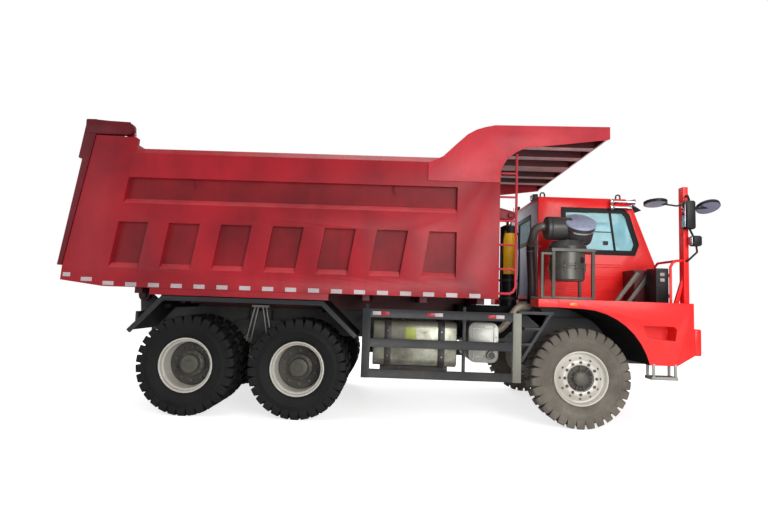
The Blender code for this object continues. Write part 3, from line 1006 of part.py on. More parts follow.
# ---------------------------------------------------------------- hoist
def hoist():
    """Telescopic hoist: an outer tube on trunnions and three stages nested in it."""
    top = HOIST_EYE_Z - 0.18
    low = HOIST_BASE_Z - 0.10
    floor = low + 0.04
    centre = (HOIST_X, 0, 0)
    pieces = []
    radius = HOIST_RADIUS
    names = ("hoist_tube", "hoist_stage_1", "hoist_stage_2", "hoist_rod")
    for index, name in enumerate(names[:3]):
        bottom = low if index == 0 else floor + (index - 1) * 0.03 + index * GAP
        inside = floor if index == 0 else bottom + 0.03
        crown = top + index * 0.012
        bore = radius - HOIST_WALL
        profile = [(0, inside), (bore, inside), (bore, crown), (radius, crown), (radius, bottom), (0, bottom)]
        pieces.append(lathe(name, profile, centre, steps=20, upright=True))
        radius = bore - STAGE_GAP
    trunnion_reach = 2 * (CRADLE_EAR_Y[1] + 0.01)
    solid = box("solid_base", (HOIST_X - 0.05, HOIST_X + 0.05), (-0.11, 0.11), (low + 0.01, low + 0.03))
    trunnions = [cylinder("trunnion", (HOIST_X, side * (HOIST_RADIUS + trunnion_reach / 2 - 0.008) / 2, HOIST_BASE_Z),
                          TRUNNION_RADIUS, trunnion_reach / 2 - HOIST_RADIUS + 0.008, "Y", 16) for side in (RIGHT, LEFT)]
    for trunnion, side in zip(trunnions, (RIGHT, LEFT)):
        trunnion.location.y = side * (trunnion_reach / 2 + HOIST_RADIUS - 0.008) / 2
    pieces[0] = join("hoist_tube", [pieces[0], solid] + trunnions)
    rod_low = floor + 0.06 + 3 * GAP + 0.03
    shoulder = HOIST_EYE_Z - 0.14
    rod = lathe("rod", [(0, HOIST_EYE_Z - 0.02), (0.045, HOIST_EYE_Z - 0.02), (0.045, shoulder), (radius, shoulder - 0.01),
                        (radius, rod_low), (0, rod_low)], centre, steps=20, upright=True)
    eye = cylinder("eye", (HOIST_X, 0, HOIST_EYE_Z), 0.065, 0.09, "Y", 20)
    pieces.append(join("hoist_rod", [rod, eye]))
    for piece, colour in zip(pieces, (BLACK, SILVER, SILVER, SILVER)):
        paint(piece, colour, 0.3, 0.6)
    return pieces


# ---------------------------------------------------------------- wheels
def tyre_section(middle, inner_radius):
    """One tyre's cross-section down its outer side: (radius, height) points round a carcass."""
    half, r = TYRE_WIDTH / 2, TYRE_RADIUS
    return [(inner_radius, middle + half * 0.82), (inner_radius + 0.06, middle + half * 0.93), (r * 0.80, middle + half),
            (r * 0.93, middle + half * 0.93), (r, middle + half * 0.78), (r, middle - half * 0.78),
            (r * 0.93, middle - half * 0.93), (r * 0.80, middle - half), (inner_radius + 0.06, middle - half * 0.93),
            (inner_radius, middle - half * 0.82)]


def front_wheel(side):
    """Front tyre and its rim, which turns on the knuckle's spindle."""
    middle_y = FRONT_WHEEL_FACE_Y - TYRE_WIDTH / 2
    centre = (FRONT_AXLE_X, side * middle_y, AXLE_Z)
    bead = RIM_RADIUS - 0.015
    tyre = lathe(f"front_tyre_{side_name(side)}", tyre_section(0, bead), centre, side, closed=True)
    barrel, disc = bead - GAP, 0.10
    spindle_end = 0.12 - KINGPIN_INSET + KINGPIN_INSET - 0.12 + 0.125
    profile = [(0, 0.175), (0.10, 0.175), (0.125, 0.13), (0.17, disc), (0.29, disc - 0.02), (barrel - 0.03, 0.10), (barrel - 0.02, 0.165),
               (barrel, 0.165), (barrel, -0.165), (barrel - 0.02, -0.165), (barrel - 0.03, -0.10), (0.29, 0.03),
               (0.17, 0.03), (0.125, -0.06), (SPINDLE_RADIUS + 0.004, -0.06), (SPINDLE_RADIUS + 0.004, spindle_end + 0.004), (0, spindle_end + 0.004)]
    rim = lathe(f"front_rim_{side_name(side)}", profile, centre, side)
    return [paint(tyre, BLACK, 0.85), paint(rim, SILVER, 0.35, 0.8)]


def twin_wheel(name, axle_x, side):
    """Two tyres joined by the spacer band between their beads, on one deep rim with its hub."""
    spacing = TYRE_WIDTH + TWIN_GAP
    middle_y = REAR_WHEEL_FACE_Y - TYRE_WIDTH - TWIN_GAP / 2
    centre = (axle_x, side * middle_y, AXLE_Z)
    bead = RIM_RADIUS - 0.015
    outer, inner = tyre_section(spacing / 2, bead), tyre_section(-spacing / 2, bead)
    band = [(bead + 0.02, outer[-1][1] - 0.005), (bead + 0.02, inner[0][1] + 0.005)]
    tyres = lathe(f"{name}_tyres", outer[:-1] + [(bead, outer[-1][1])][:0] + band + inner[1:], centre, side, closed=True)
    barrel = bead - GAP
    lip = spacing / 2 + TYRE_WIDTH / 2 * 0.82
    hub_face = lip - 0.12
    disc = spacing / 2 - 0.11
    hub_end = REAR_WHEEL_FACE_Y - 0.42 - middle_y
    profile = [(0, hub_face), (0.10, hub_face), (0.135, hub_face - 0.03), (0.145, disc), (0.24, disc), (barrel - 0.04, disc - 0.03),
               (barrel - 0.03, lip - 0.04), (barrel - 0.01, lip), (barrel, lip), (barrel, -lip), (barrel - 0.01, -lip),
               (barrel - 0.03, -lip + 0.04), (barrel - 0.04, disc - 0.07), (0.24, disc - 0.04), (0.145, disc - 0.04), (0.135, -0.05),
               (SPINDLE_RADIUS + 0.004, -0.05), (SPINDLE_RADIUS + 0.004, hub_end + 0.004), (0, hub_end + 0.004)]
    rim = lathe(f"{name}_rim", profile, centre, side)
    return [paint(tyres, BLACK, 0.85), paint(rim, SILVER, 0.35, 0.8)]


# ---------------------------------------------------------------- assembly
def build():
    start()
    chassis_frame()
    front_axle()
    drive_axle("middle_axle", MIDDLE_AXLE_X)
    drive_axle("rear_axle", REAR_AXLE_X)
    rear_suspension()
    engine_block()
    fuel_tank()
    tank_cradle()
    exhaust_box()
    for side in (RIGHT, LEFT):
        side_guard(side)
        rear_mudguard(side)
        fender(side)
    front_end()
    cab()
    cab_inside()
    filter_stand()
    air_filter()
    precleaner()
    intake_hose()
    deck_boxes()
    deck_rails()
    mirrors(RIGHT)
    mirrors(LEFT)

    pivot("door_pivot", (DOOR_HINGE_X, DOOR_HINGE_Y, DOOR_SILL_Z), cab_door())
    bed_pieces = [bed_floor(), bed_side(RIGHT), bed_side(LEFT), bed_front_wall(), canopy(), bed_ladder()]
    bed = pivot("bed_pivot", (PIVOT_X, 0, PIVOT_Z), bed_pieces)
    pivot("tailgate_pivot", (GATE_HINGE_X, 0, GATE_HINGE_Z), [tailgate()], bed)
    stages = hoist()
    carrier = None
    for name, stage in zip(("hoist_pivot", "stage_1_slide", "stage_2_slide", "rod_slide"), stages):
        carrier = pivot(name, (HOIST_X, 0, HOIST_BASE_Z), [stage], carrier)
    for side in (RIGHT, LEFT):
        steering = pivot(f"steering_{side_name(side)}", (FRONT_AXLE_X, side * KINGPIN_Y, AXLE_Z), knuckle(side))
        hub = (FRONT_AXLE_X, side * (FRONT_WHEEL_FACE_Y - TYRE_WIDTH / 2), AXLE_Z)
        pivot(f"front_hub_{side_name(side)}", hub, front_wheel(side), steering)
        for row, axle_x in (("middle", MIDDLE_AXLE_X), ("rear", REAR_AXLE_X)):
            hub = (axle_x, side * (REAR_WHEEL_FACE_Y - TYRE_WIDTH), AXLE_Z)
            pivot(f"{row}_hub_{side_name(side)}", hub, twin_wheel(f"{row}_{side_name(side)}", axle_x, side))


build()
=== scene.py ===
# %% [markdown]
# # A mining dump truck, one piece at a time
# The truck's frame already exists: solid parts with their joints, in metres.
# This lesson dresses that frame. It loads the parts, sets the light and the camera,
# mixes the finishes, and then builds what the plain solids lack: treads, rims, rubber
# frames, hoses, lamps, latches and bolts. Each step says what the real piece is like,
# how it could be made, and why this way was chosen.

# %% Load the frame
import json
import math

import bmesh
import bpy
from mathutils import Matrix, Vector


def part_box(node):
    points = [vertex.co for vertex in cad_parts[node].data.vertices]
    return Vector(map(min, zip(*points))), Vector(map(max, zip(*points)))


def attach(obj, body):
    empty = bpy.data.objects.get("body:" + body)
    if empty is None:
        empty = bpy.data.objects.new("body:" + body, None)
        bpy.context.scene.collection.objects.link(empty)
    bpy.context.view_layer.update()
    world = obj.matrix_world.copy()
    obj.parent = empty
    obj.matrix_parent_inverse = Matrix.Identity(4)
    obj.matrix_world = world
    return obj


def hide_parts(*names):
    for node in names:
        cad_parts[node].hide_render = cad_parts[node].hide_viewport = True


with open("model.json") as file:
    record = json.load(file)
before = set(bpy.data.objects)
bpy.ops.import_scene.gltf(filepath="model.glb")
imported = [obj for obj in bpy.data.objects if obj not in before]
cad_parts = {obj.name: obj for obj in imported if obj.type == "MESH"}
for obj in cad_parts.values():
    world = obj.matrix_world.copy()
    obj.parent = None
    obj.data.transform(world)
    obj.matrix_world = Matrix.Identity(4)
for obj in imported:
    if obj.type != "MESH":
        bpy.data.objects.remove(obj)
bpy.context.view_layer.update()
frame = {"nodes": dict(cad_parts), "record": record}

# %% [markdown]
# ## Where things are
# The dressing takes its places from the parts themselves. `low` and `high` give the two
# corners of a part's box. X runs to the nose, Y to the left side and Z up.

# %% Corners of the parts
RIGHT, LEFT = -1, 1
SIDES = {"right": RIGHT, "left": LEFT}


def low(node):
    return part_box(node)[0]


def high(node):
    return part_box(node)[1]


def across(side, near, far):
    """Two distances from the truck's middle line, as the low and high y on one side."""
    return sorted((side * near, side * far))


bodies = frame["record"]["behaviour"]["bodies"]
body_of = {node: body for body, nodes in bodies.items() for node in nodes}
front_axle_x = (low("front_rim_right").x + high("front_rim_right").x) / 2
axle_z = (low("front_tyre_right").z + high("front_tyre_right").z) / 2
deck_z = low("precleaner").z - 0.70
cab_low, cab_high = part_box("cab_shell")
cab_right_y = cab_low.y
cab_left_y = high("door_glass").y + 0.022
print("front axle at x", round(front_axle_x, 3), "wheel centres at z", round(axle_z, 3))

# %% [markdown]
# ## Camera
# The truck is seen square from its right side, from low down and close by, through a
# wide lens. A camera looks along its own -Z axis, so its three axes are worked out from
# a yaw, a pitch and a small roll, and become the columns of its matrix.

# %% Camera
CAMERA_PLACE = (-0.006, -8.446, 1.634)
LENS = 23.64
YAW, PITCH, ROLL = (math.radians(angle) for angle in (-0.67, 4.64, 1.94))


def aimed_axes(yaw, pitch, roll):
    forward = Vector((math.sin(yaw) * math.cos(pitch), math.cos(yaw) * math.cos(pitch), math.sin(pitch)))
    level = Vector((math.cos(yaw), -math.sin(yaw), 0))
    rise = level.cross(forward)
    right = math.cos(roll) * level + math.sin(roll) * rise
    up = -math.sin(roll) * level + math.cos(roll) * rise
    return Matrix((right, up, -forward)).transposed()


camera = bpy.data.objects.new("camera", bpy.data.cameras.new("camera"))
camera.data.lens = LENS
camera.matrix_world = Matrix.Translation(CAMERA_PLACE) @ aimed_axes(YAW, PITCH, ROLL).to_4x4()
bpy.context.scene.collection.objects.link(camera)
bpy.context.scene.camera = camera
print("camera", -CAMERA_PLACE[1], "m from the truck's middle line")

# %% [markdown]
# ## Studio lamps
# Large soft lamps give the even light of an open yard. The key lamp stands to the front
# and right, which makes the cab brighter than the bed. A low lamp lights what stands in
# the gaps, such as the hoist, and one behind keeps the far edges clear of the floor.

# %% Lamps
def lamp(name, place, target, size, power, colour=(1, 1, 1)):
    data = bpy.data.lights.new(name, "AREA")
    data.shape = "DISK"
    data.size = size
    data.energy = power
    data.color = colour
    light = bpy.data.objects.new(name, data)
    turn = (Vector(target) - Vector(place)).to_track_quat("-Z", "Y")
    light.matrix_world = Matrix.Translation(place) @ turn.to_matrix().to_4x4()
    bpy.context.scene.collection.objects.link(light)


lamp("key", (6.0, -13.0, 5.2), (2.4, -1.0, 1.9), 7.0, 860, (1.0, 0.985, 0.96))
lamp("front", (2.6, -10.5, 1.6), (2.2, 0, 2.4), 3.0, 210)
lamp("fill", (-9.5, -8.5, 3.5), (-1.5, 0, 1.8), 6.0, 130, (0.95, 0.97, 1.0))
lamp("top", (0, -1.0, 10.5), (0, 0, 2.0), 7.0, 420)
lamp("back", (-4.0, 11.0, 6.0), (0, 0, 2.0), 6.0, 520)

# %% [markdown]
# ## Background
# One white world would light the truck from below and wash it out. A Light Path node
# splits it: what is seen directly or through a pane is white, and what only lights the
# truck is dimmer, so the shaded side keeps its depth.

# %% World
SEEN_STRENGTH = 1.0
LIGHTING_STRENGTH = 0.36
world = bpy.data.worlds.new("studio")
bpy.context.scene.world = world
world.use_nodes = True
sky = world.node_tree
lighting = sky.nodes["Background"]
seen = sky.nodes.new("ShaderNodeBackground")
for background, strength in ((lighting, LIGHTING_STRENGTH), (seen, SEEN_STRENGTH)):
    background.inputs["Color"].default_value = (1, 1, 1, 1)
    background.inputs["Strength"].default_value = strength
rays = sky.nodes.new("ShaderNodeLightPath")
either = sky.nodes.new("ShaderNodeMath")
either.operation = "MAXIMUM"
chosen = sky.nodes.new("ShaderNodeMixShader")
sky.links.new(rays.outputs["Is Camera Ray"], either.inputs[0])
sky.links.new(rays.outputs["Is Transmission Ray"], either.inputs[1])
sky.links.new(either.outputs[0], chosen.inputs[0])
sky.links.new(lighting.outputs[0], chosen.inputs[1])
sky.links.new(seen.outputs[0], chosen.inputs[2])
sky.links.new(chosen.outputs[0], sky.nodes["World Output"].inputs["Surface"])
bpy.context.scene.view_settings.view_transform = "Standard"
print("world lights with", LIGHTING_STRENGTH)

# %% [markdown]
# ## Mixing a finish
# Paint on a working truck is never one colour. It is a base that drifts from place to
# place, faint runs down upright faces, and dust that settles where a surface looks up
# or is close to the ground. All of that can come from noise in the object's own space,
# so no piece needs unwrapping. The class below gives short names to the node work.

# %% Colours
def paint_colour(red, green, blue):
    """A colour as on a paint card, 0 to 255, turned into the linear values that shaders use."""
    def linear(value):
        share = value / 255
        return share / 12.92 if share <= 0.04045 else ((share + 0.055) / 1.055) ** 2.4
    return (linear(red), linear(green), linear(blue), 1.0)


# %% Node helpers
class Wiring:
    """Short names for adding nodes to a material and joining them."""

    def __init__(self, name):
        self.material = bpy.data.materials.new(name)
        self.material.use_nodes = True
        self.nodes, self.links = self.material.node_tree.nodes, self.material.node_tree.links
        self.shader = self.nodes["Principled BSDF"]
        self.place = self.nodes.new("ShaderNodeTexCoord").outputs["Object"]

    def join(self, start, end):
        self.links.new(start, end)

    def fill(self, socket, value):
        """Sets a socket to a value, or joins another node's output to it."""
        if isinstance(value, (int, float, tuple)):
            socket.default_value = value
        else:
            self.join(value, socket)

    def noise(self, scale, detail=4.0, stretch=(1, 1, 1), roughness=0.55):
        mapping = self.nodes.new("ShaderNodeMapping")
        mapping.inputs["Scale"].default_value = stretch
        self.join(self.place, mapping.inputs["Vector"])
        texture = self.nodes.new("ShaderNodeTexNoise")
        for title, value in (("Scale", scale), ("Detail", detail), ("Roughness", roughness)):
            texture.inputs[title].default_value = value
        self.join(mapping.outputs[0], texture.inputs["Vector"])
        return texture.outputs["Fac"]

    def ranged(self, value, start, end, new_start=0.0, new_end=1.0):
        node = self.nodes.new("ShaderNodeMapRange")
        limits = (("From Min", start), ("From Max", end), ("To Min", new_start), ("To Max", new_end))
        for title, limit in limits:
            node.inputs[title].default_value = limit
        self.join(value, node.inputs["Value"])
        return node.outputs[0]

    def combined(self, operation, first, second):
        node = self.nodes.new("ShaderNodeMath")
        node.operation = operation
        self.fill(node.inputs[0], first)
        self.fill(node.inputs[1], second)
        return node.outputs[0]

    def mixed(self, share, first, second):
        node = self.nodes.new("ShaderNodeMix")
        node.data_type = "RGBA"
        self.join(share, node.inputs["Factor"])
        self.fill(node.inputs[6], first)
        self.fill(node.inputs[7], second)
        return node.outputs[2]

    def axis_z(self, vector):
        node = self.nodes.new("ShaderNodeSeparateXYZ")
        self.join(vector, node.inputs[0])
        return node.outputs["Z"]

    def bump(self, height, strength, distance=0.002):
        node = self.nodes.new("ShaderNodeBump")
        node.inputs["Strength"].default_value = strength
        node.inputs["Distance"].default_value = distance
        self.join(height, node.inputs["Height"])
        self.join(node.outputs[0], self.shader.inputs["Normal"])


# %% [markdown]
# ### The recipe
# Every finish follows one recipe, from the ground up: broad drift between two colours,
# dark runs, then dust. The dust share also raises the roughness, because dust is matt.
# Values that are the same all over sit on the shader's own sockets.

# %% One finish
DUST = (150, 140, 128)


def finish(name, slot, colour, shade, roughness=0.4, metallic=0.0, coat=0.0, dust=0.35, low_dust_and_reflection=0.3,
           streaks=0.25, grain=60.0, bump=0.12, gloss=0.3, dust_and_reflection_colour=DUST):
    """A finish from two card colours; dust lies on upper faces and on what is near the ground, and on the tank
    the dark near-ground mix is a painted reflection of the ground.
    """
    wiring = Wiring(name)
    colour, shade = paint_colour(*colour), paint_colour(*shade)
    run_colour = tuple(value * 0.45 for value in shade[:3]) + (1.0,)
    broad = wiring.ranged(wiring.noise(1.3, 6.0), 0.35, 0.68)
    runs = wiring.ranged(wiring.noise(5.0, 5.0, (1, 1, 0.09)), 0.50, 0.72, 0.0, streaks)
    fine = wiring.noise(grain, 3.0)
    base = wiring.mixed(runs, wiring.mixed(broad, colour, shade), run_colour)
    normal = wiring.nodes.new("ShaderNodeNewGeometry").outputs["Normal"]
    patches = wiring.ranged(wiring.noise(3.2, 7.0, roughness=0.65), 0.38, 0.66)
    lying = wiring.ranged(wiring.axis_z(normal), 0.25, 0.95, 0.0, dust)
    # The near-ground mix is dust on most finishes and a painted ground reflection on the tank.
    near_ground = wiring.ranged(wiring.axis_z(wiring.place), 1.7, 0.2, 0.0, low_dust_and_reflection)
    settled_dust_and_reflection = wiring.combined("MAXIMUM", lying, near_ground)
    dust_and_reflection = wiring.combined("MULTIPLY", settled_dust_and_reflection, wiring.combined("ADD", patches, 0.25))
    dust_and_reflection = wiring.combined("MINIMUM", dust_and_reflection, 0.9)
    wiring.join(wiring.mixed(dust_and_reflection, base, paint_colour(*dust_and_reflection_colour)), wiring.shader.inputs["Base Color"])
    worn = wiring.ranged(fine, 0.3, 0.7, max(roughness - 0.07, 0.03), roughness + 0.10)
    matt = wiring.combined("ADD", worn, wiring.combined("MULTIPLY", dust_and_reflection, 0.35))
    wiring.join(wiring.combined("MINIMUM", matt, 0.95), wiring.shader.inputs["Roughness"])
    wiring.shader.inputs["Metallic"].default_value = metallic
    wiring.shader.inputs["Coat Weight"].default_value = coat
    wiring.shader.inputs["Coat Roughness"].default_value = 0.12
    wiring.shader.inputs["Specular IOR Level"].default_value = gloss
    wiring.bump(fine, bump)
    wiring.material["slot"] = slot
    return wiring.material


# %% [markdown]
# ## Reds
# The reds are lit and shaded copies of one paint. The bed's red is darkened as painted shade,
# the cab's glossy red is brightened as painted sunlight, and the canopy's lighter, pinker red
# is painted light between them. The recesses and the gate are darker still, as painted shade;
# the maroon is the red in shade, and the pale rib finish is a painted reflection. The cab's
# roof is dull with dust.

# %% Mix the reds
# The bed's red is the one red paint, darkened as painted shade.
bed_red_shaded = finish("bed_red_shaded", "red_paint", (162, 25, 38), (130, 19, 31), 0.42,
                 dust=0.08, low_dust_and_reflection=0.05, streaks=0.2)
# The recess red is the bed's red darkened as painted shade inside the recesses.
recess_red_painted_shade = finish("recess_red_painted_shade", "red_paint", (134, 20, 30), (102, 13, 21), 0.5,
                    dust=0.25, low_dust_and_reflection=0.05, streaks=0.3)
# The gate's red is darkened as painted shade.
gate_red_painted_shade = finish("gate_red_painted_shade", "red_paint", (108, 18, 29), (86, 13, 23), 0.45, dust=0.1, low_dust_and_reflection=0.05)
cab_top_red = finish("cab_top_red", "red_paint", (214, 36, 36), (190, 30, 32), 0.7,
                     dust=0.45, low_dust_and_reflection=0.1, streaks=0.1)
# The cab's red is the same paint, brightened as painted sunlight.
cab_red_sunlit = finish("cab_red_sunlit", "red_paint", (238, 32, 32), (222, 26, 28), 0.34, coat=0.12,
                 dust=0.08, low_dust_and_reflection=0.12, streaks=0.1, grain=25.0, bump=0.03)
# The canopy's lighter, pinker red is painted light between the bed's and the cab's.
canopy_red_lit = finish("canopy_red_lit", "red_paint", (198, 54, 64), (158, 40, 50), 0.45,
                    dust=0.15, low_dust_and_reflection=0.05, streaks=0.15)
# The pale rib finish is a painted reflection of the bright horizon on the ribs' glossy undersides.
rib_painted_reflection = finish("rib_painted_reflection", "dark_paint", (250, 226, 226), (214, 176, 178), 0.5,
                    dust=0.1, low_dust_and_reflection=0.0)
# The maroon is the red paint as it looks in shade: painted shade wherever it is used.
maroon_painted_shade = finish("maroon_painted_shade", "dark_paint", (92, 28, 34), (62, 20, 25), 0.5, dust=0.3)
print("reds mixed:", len(bpy.data.materials))

# %% [markdown]
# ## Greys and blacks
# The frame, the guards and the air filter are greys of different age. The cab's rear wall
# gets a pale lavender grey, a painted reflection of the bright sky on paint seen almost edge-on.
# The blacks are the small fittings, the rubber and the hoses; the deep black in the fender wells
# and on the rear mudguards is painted shade.

# %% Mix the greys and blacks
cab_lining = finish("cab_lining", "trim", (150, 150, 144), (124, 124, 118), 0.8, dust=0.1, low_dust_and_reflection=0.0)
frame_grey = finish("frame_grey", "frame_paint", (66, 68, 72), (46, 48, 51), 0.5, metallic=0.1,
                    dust=0.4, low_dust_and_reflection=0.4)
guard_grey = finish("guard_grey", "frame_paint", (37, 40, 43), (29, 31, 34), 0.42, dust=0.22, low_dust_and_reflection=0.12)
step_grey = finish("step_grey", "frame_paint", (168, 168, 166), (138, 138, 134), 0.45, metallic=0.3, dust=0.2)
# The deep black is painted shade in the fender wells and on the mudguards; on the oil tank it is plain black.
deep_black_and_shade = finish("deep_black_and_shade", "black_paint", (9, 9, 10), (5, 5, 6), 0.7,
                    dust=0.05, low_dust_and_reflection=0.04, gloss=0.12)
khaki = finish("khaki", "grey_paint", (126, 127, 118), (100, 100, 91), 0.45, metallic=0.15,
               dust=0.2, low_dust_and_reflection=0.15)
stand_grey = finish("stand_grey", "grey_paint", (98, 97, 90), (72, 71, 66), 0.42, metallic=0.25,
                    dust=0.2, low_dust_and_reflection=0.0)
filter_grey = finish("filter_grey", "grey_paint", (104, 103, 98), (78, 76, 74), 0.34, metallic=0.35,
                     dust=0.2, low_dust_and_reflection=0.0)
drum_grey = finish("drum_grey", "grey_paint", (72, 70, 70), (50, 48, 50), 0.34, metallic=0.25,
                   dust=0.2, low_dust_and_reflection=0.0)
lid_grey = finish("lid_grey", "grey_paint", (176, 182, 206), (150, 156, 182), 0.34, metallic=0.2,
                  dust=0.05, low_dust_and_reflection=0.0)
# The rear wall's pale lavender grey is a painted reflection of the sky.
cab_rear_painted_reflection = finish("cab_rear_painted_reflection", "grey_paint", (186, 200, 226), (162, 174, 198), 0.45,
                       dust=0.2, low_dust_and_reflection=0.1)
soft_black = finish("soft_black", "black_paint", (30, 30, 32), (18, 18, 20), dust=0.25)
rubber = finish("rubber", "trim", (26, 25, 26), (17, 16, 17), 0.6, dust=0.2, low_dust_and_reflection=0.1, bump=0.2)
hose_black = finish("hose_black", "hose", (48, 38, 38), (28, 22, 24), 0.42,
                    dust=0.2, low_dust_and_reflection=0.1, bump=0.25)
print("finishes so far:", len(bpy.data.materials))

# %% [markdown]
# ## Metals
# Bare and silvered metal differs mostly in roughness: the hoist's rods are polished, the
# tank is brushed and turns dark brown towards its underside, a painted reflection of the ground,
# and the rims are painted silver.

# %% Mix the metals
silver = finish("silver", "silver", (166, 168, 166), (136, 136, 130), 0.34, metallic=0.55,
                dust=0.25, low_dust_and_reflection=0.35)
# The tank's strong dark near-ground mix is no dust: it is a painted reflection of the ground on its lower half.
tank_silver = finish("tank_silver", "silver", (182, 186, 168), (132, 130, 118), 0.27, metallic=0.6,
                     dust=0.2, low_dust_and_reflection=1.2, bump=0.03, grain=20.0, dust_and_reflection_colour=(76, 70, 62))
rim_silver = finish("rim_silver", "silver", (212, 210, 202), (186, 182, 172), 0.36, metallic=0.2,
                    dust=0.15, low_dust_and_reflection=0.25)
rim_dark = finish("rim_dark", "silver", (66, 66, 64), (44, 44, 43), 0.42, metallic=0.3,
                  dust=0.1, low_dust_and_reflection=0.15)
hub_khaki = finish("hub_khaki", "grey_paint", (82, 82, 75), (60, 60, 55), 0.42, metallic=0.2,
                   dust=0.1, low_dust_and_reflection=0.15)
bright_rod = finish("bright_rod", "rod_steel", (205, 207, 208), (180, 182, 184), 0.14, metallic=0.95,
                    dust=0.05, low_dust_and_reflection=0.0, streaks=0.05, bump=0.03)
chrome = finish("chrome", "silver", (215, 217, 220), (190, 192, 196), 0.12, metallic=1.0,
                dust=0.08, low_dust_and_reflection=0.05, streaks=0.05, bump=0.02)
bare_steel = finish("bare_steel", "silver", (142, 140, 134), (100, 96, 90), 0.35, metallic=0.8, dust=0.2)
beige_pipe = finish("beige_pipe", "grey_paint", (176, 166, 150), (138, 126, 112), 0.5, metallic=0.3,
                    dust=0.3)
mirror_silver = finish("mirror_silver", "glass", (196, 200, 208), (178, 182, 190), 0.04, metallic=1.0,
                       dust=0.05, low_dust_and_reflection=0, streaks=0.03, bump=0.01)
mirror_violet = finish("mirror_violet", "glass", (150, 146, 172), (120, 116, 142), 0.12, metallic=0.6,
                       dust=0.05, low_dust_and_reflection=0, streaks=0.03, bump=0.01)
print("finishes so far:", len(bpy.data.materials))

# %% [markdown]
# ## Markers, lamps, cloth and tyres
# The last ones are small or soft. The rear tyres are black with a little pale dust; the
# front pair runs first through the dirt and is brown all over.

# %% Mix the rest
marker_white = finish("marker_white", "trim", (190, 178, 180), (160, 148, 150), 0.3,
                      dust=0.1, low_dust_and_reflection=0.1, streaks=0.15)
marker_red = finish("marker_red", "trim", (176, 34, 44), (140, 26, 34), 0.3, dust=0.1, low_dust_and_reflection=0.1)
sign_yellow = finish("sign_yellow", "trim", (255, 200, 24), (240, 176, 20),
                     dust=0.03, low_dust_and_reflection=0.0, streaks=0.05)
sign_lime = finish("sign_lime", "trim", (176, 186, 84), (150, 160, 70), dust=0.1, low_dust_and_reflection=0.1)
lamp_orange = finish("lamp_orange", "trim", (232, 128, 30), (204, 100, 22), 0.2, coat=0.5,
                     dust=0.1, low_dust_and_reflection=0.1)
lamp_red = finish("lamp_red", "trim", (186, 22, 24), (150, 16, 20), 0.2, coat=0.5, dust=0.1, low_dust_and_reflection=0.1)
lamp_clear = finish("lamp_clear", "glass", (226, 230, 232), (204, 208, 212), 0.1, coat=0.6,
                    dust=0.08, low_dust_and_reflection=0.08)
seat_cloth = finish("seat_cloth", "trim", (44, 46, 52), (32, 33, 38), 0.85,
                    dust=0.1, low_dust_and_reflection=0.0, grain=420.0, bump=0.5)
rear_rubber = finish("rear_rubber", "tyre", (22, 22, 23), (13, 13, 14), 0.62, dust=0.12, low_dust_and_reflection=0.15,
                     streaks=0.1, bump=0.35, gloss=0.2, dust_and_reflection_colour=(58, 57, 55))
front_rubber = finish("front_rubber", "tyre", (98, 92, 84), (64, 60, 55), 0.75, dust=0.4, low_dust_and_reflection=0.5,
                      streaks=0.1, bump=0.4, dust_and_reflection_colour=(146, 139, 128))
print("finishes:", len(bpy.data.materials))

# %% [markdown]
# ## Glass
# Cab glass is tinted pale green. Real transmission lets the seat and the far window show
# through, which a painted pane can't do. A faint film of dust keeps it from looking new.

# %% Glass
def cab_glass():
    wiring = Wiring("cab_glass")
    film = wiring.ranged(wiring.noise(7.0, 6.0), 0.4, 0.75)
    tint = wiring.mixed(film, paint_colour(196, 246, 254), paint_colour(172, 234, 246))
    wiring.join(tint, wiring.shader.inputs["Base Color"])
    wiring.join(wiring.ranged(film, 0, 1, 0.03, 0.12), wiring.shader.inputs["Roughness"])
    wiring.shader.inputs["Transmission Weight"].default_value = 0.60
    wiring.shader.inputs["IOR"].default_value = 1.3
    wiring.bump(film, 0.03)
    wiring.material["slot"] = "glass"
    return wiring.material


glass = cab_glass()
print("glass mixed")

# %% [markdown]
# ## Floor
# The floor is plain and pale. It glows a little for the camera alone, which lifts it to
# the white of the background without throwing light up under the truck.

# %% Floor
FLOOR_GLOW = 0.70
floor_finish = finish("studio_floor", "none", (242, 242, 242), (238, 238, 239), 0.8,
                      dust=0, low_dust_and_reflection=0, streaks=0, bump=0.02)
tree = floor_finish.node_tree
glow, none = (tree.nodes.new("ShaderNodeEmission") for index in range(2))
glow.inputs["Strength"].default_value = FLOOR_GLOW
none.inputs["Strength"].default_value = 0.0
direct = tree.nodes.new("ShaderNodeLightPath").outputs["Is Camera Ray"]
choice, both = tree.nodes.new("ShaderNodeMixShader"), tree.nodes.new("ShaderNodeAddShader")
tree.links.new(direct, choice.inputs[0])
tree.links.new(none.outputs[0], choice.inputs[1])
tree.links.new(glow.outputs[0], choice.inputs[2])
tree.links.new(tree.nodes["Principled BSDF"].outputs[0], both.inputs[0])
tree.links.new(choice.outputs[0], both.inputs[1])
tree.links.new(both.outputs[0], tree.nodes["Material Output"].inputs["Surface"])
floor_mesh = bpy.data.meshes.new("floor")
floor_mesh.from_pydata([(-60, -40, 0), (60, -40, 0), (60, 60, 0), (-60, 60, 0)], [], [(0, 1, 2, 3)])
floor_mesh.materials.append(floor_finish)
floor = bpy.data.objects.new("floor", floor_mesh)
bpy.context.scene.collection.objects.link(floor)
print("floor laid")

# %% [markdown]
# ## Building blocks
# Most fittings are folded plate, turned steel or bent tube. Each block below adds one
# such form to a bmesh, Blender's editable mesh. An outline is a list of points in one
# plane, and `offset` moves its edges outwards, as a tailor adds a seam allowance.

# %% Outlines
def arc(centre, radius, start, end, count):
    angles = [math.radians(start + (end - start) * index / (count - 1)) for index in range(count)]
    return [(centre[0] + radius * math.cos(a), centre[1] + radius * math.sin(a)) for a in angles]


